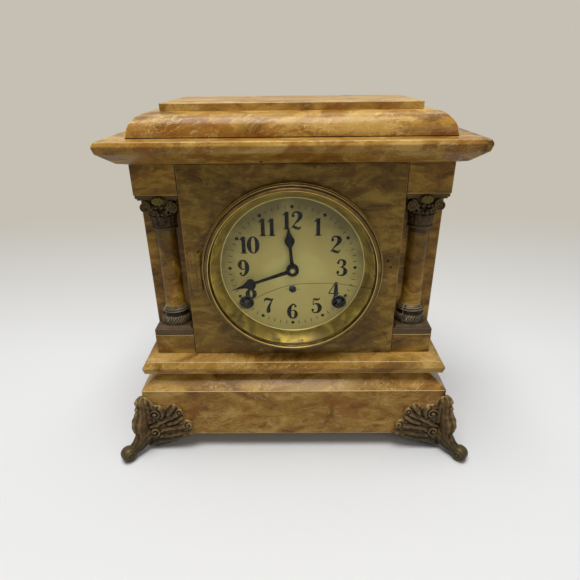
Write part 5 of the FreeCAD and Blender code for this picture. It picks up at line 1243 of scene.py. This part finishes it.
DENTS = ((80.8, 192.4, 1.1), (83.8, 186.9, 0.8))
NAIL_HOLE = (-23.0, -59.4, 277.2)
PLINTH_SCRATCHES = (
    ((-36.9, 64.2), (-35.3, 59.5)), ((-33.2, 64.2), (-30.5, 59.5)), ((-34.9, 63.8), (-33.0, 60.0)),
    ((-30.8, 64.0), (-28.6, 60.8)), ((-26.6, 64.2), (-25.6, 62.0)),
)
JOINT_HALF = 0.45
MOULD_LINE = 0.75
MOULDING_EDGE_Z = 96.9


def dents_and_joints():
    """Two dents and a nail hole, and dark joints beside the panel and at the top mould's foot."""
    shape = Parts()
    for x, z, radius in DENTS:
        shape.add([(x + radius * (1 + 0.3 * math.sin(3 * t)) * math.cos(t), PANEL_LOW.y - 0.04,
                    z + radius * 1.3 * math.sin(t)) for t in turns(12)], [list(range(12))])
    shape.add(*ball(NAIL_HOLE, (1.2, 0.4, 1.0)))
    half = MOULD_HIGH.x + 0.1
    top = MOULD_LOW.z + MOULD_LINE
    shape.add(*block((-half, MOULD_LOW.y - 0.1, MOULD_LOW.z), (half, MOULD_LOW.y + 1.0, top)))
    for side in (-1, 1):
        x = side * (PANEL_HIGH.x + 0.4)
        for name in ("pedestals", "frieze_blocks"):
            low, high = node_box(name)
            shape.add(*block((x - JOINT_HALF, low.y - 0.06, low.z + 0.5),
                             (x + JOINT_HALF, low.y + 0.4, high.z - 0.5)))
        near, far = sorted((side * half, side * (half - 1.1)))
        shape.add(*block((near, MOULD_LOW.y, MOULD_LOW.z), (far, MOULD_HIGH.y - 1.0, top)))
    shape.piece("dents_and_joints", DARK_MARK, smooth=False)


def scratches():
    lines = [[(x, PLINTH_LOW.y - 0.05, z) for x, z in path] for path in PLINTH_SCRATCHES]
    rods("plinth_scratches", lines, 0.12, SCRATCH, sides=4)


def rubbed_edges():
    """Pale lines along the front edges of the lower moulding and the plinth: partly rubbed lacquer, partly a
    painted highlight.
    """
    lines = []
    for name in ("lower_moulding", "plinth"):
        corners = [NODES[name].matrix_world @ vertex.co / MM for vertex in NODES[name].data.vertices]
        if name == "lower_moulding":
            corners = [p for p in corners if abs(p.z - MOULDING_EDGE_Z) < 2.5]
        edge_y = min(p.y for p in corners)
        edge_z = max(p.z for p in corners if p.y < edge_y + 0.05)
        reach = max(p.x for p in corners if p.y < edge_y + 0.05 and p.z > edge_z - 0.05) - 1.5
        lines.append([(x, edge_y + 0.12, edge_z - 0.1) for x in (-reach, reach)])
    rods("rubbed_edges", lines, 0.34, RUBBED_HIGHLIGHT)


def pedestal_edges():
    """Pale lines on the pedestals, just under the plates of the columns."""
    low, high = node_box("pedestals")
    plate = node_box("column_base_left")[0]
    line_z = plate.z - 0.5 - 0.5 * max(low.y - plate.y, 0.0)
    ends = (PANEL_HIGH.x + 1.2, high.x - 0.6)
    lines = [[(side * x, low.y + 0.1, line_z) for x in ends] for side in (-1, 1)]
    rods("pedestal_edges", lines, 0.36, FADED)


# Stage, lamps and camera

BACKDROP = rgb(197, 192, 179)
FLOOR_LIT = rgb(170, 170, 170)
FLOOR_SEEN = rgb(226, 226, 226)
FLOOR_HALF = 6.0
WORLD_COLOUR = rgb(226, 224, 216)
WORLD_LIGHT = 0.2
CAMERA_PLACE = Vector((1.33, -409.3, 338.9)) * MM
CAMERA_RIGHT = Vector((0.9999, 0.0056, -0.0094))
CAMERA_UP = Vector((0.0061, 0.4351, 0.9003))
CAMERA_LENS = 28.32


def stage():
    """A pale table that fades into the backdrop behind the clock and far from it."""
    s = Shader("table_white")
    tone = s.mix(s.background_rays(), FLOOR_LIT, FLOOR_SEEN)
    s.set(Base_Color=tone, Roughness=0.8, Specular_IOR_Level=0.12)
    behind = s.ramp(s.axis(1), (0.1, 0.0), (0.75, 1.0))
    around = s.ramp(s.vector("LENGTH", s.place, output="Value"), (0.55, 0.0), (0.98, 1.0))
    faded = s.times(s.math("MAXIMUM", behind, around), s.add("LightPath").outputs["Is Camera Ray"])
    s.show("Material Output", faded, s.surface, s.add("Emission", {"Color": BACKDROP}))
    mesh = bpy.data.meshes.new("table")
    corners = [(x * FLOOR_HALF, y * FLOOR_HALF, 0) for x, y in ((-1, -1), (1, -1), (1, 1), (-1, 1))]
    mesh.from_pydata(corners, [], [(0, 1, 2, 3)])
    mesh.materials.append(s.material)
    floor = bpy.data.objects.new("table", mesh)
    bpy.context.scene.collection.objects.link(floor)


def studio():
    """Dim light all round; rays that look at the background see the backdrop."""
    world = bpy.data.worlds.new("studio")
    bpy.context.scene.world = world
    world.use_nodes = True
    s = Nodes(world.node_tree)
    light = s.tree.nodes["Background"]
    s.feed(light.inputs["Color"], WORLD_COLOUR)
    s.feed(light.inputs["Strength"], WORLD_LIGHT)
    s.show("World Output", s.background_rays(), light, s.add("Background", {"Color": BACKDROP}))


def lamp(name, place, target, size, power, colour):
    data = bpy.data.lights.new(name, "AREA")
    data.shape = "RECTANGLE"
    data.size, data.size_y = size
    data.energy = power
    data.color = colour
    obj = bpy.data.objects.new(name, data)
    obj.location = place
    obj.rotation_euler = (Vector(target) - Vector(place)).to_track_quat("-Z", "Y").to_euler()
    bpy.context.scene.collection.objects.link(obj)


def camera():
    data = bpy.data.cameras.new("view")
    data.lens = CAMERA_LENS
    data.sensor_width = 36.0
    data.clip_start = 0.01
    obj = bpy.data.objects.new("view", data)
    back = CAMERA_RIGHT.cross(CAMERA_UP).normalized()
    up = back.cross(CAMERA_RIGHT).normalized()
    right = up.cross(back)
    turn = Matrix((right, up, back)).transposed()
    obj.matrix_world = Matrix.Translation(CAMERA_PLACE) @ turn.to_4x4()
    bpy.context.scene.collection.objects.link(obj)
    bpy.context.scene.camera = obj


dress_frame()
feet()
for which in ("left", "right"):
    capital(which)
    base(which)
top_mould()
bezel()
reflector()
glass()
numerals()
dial_marks()
hole_rims()
hands()
dents_and_joints()
scratches()
rubbed_edges()
pedestal_edges()
stage()
studio()
lamp("key", (-0.12, -0.34, 1.8), (0, 0, 0.15), (1.0, 0.9), 28.0, (0.985, 0.99, 1.0))
lamp("fill", (0.9, -1.5, 1.0), (0, 0, 0.15), (1.0, 1.0), 4.6, (0.98, 0.99, 1.0))
lamp("top", (0.0, 0.4, 1.9), (0, 0, 0.2), (1.6, 1.0), 8.2, (0.99, 0.99, 1.0))
camera()
bpy.context.scene.view_settings.view_transform = "Standard"
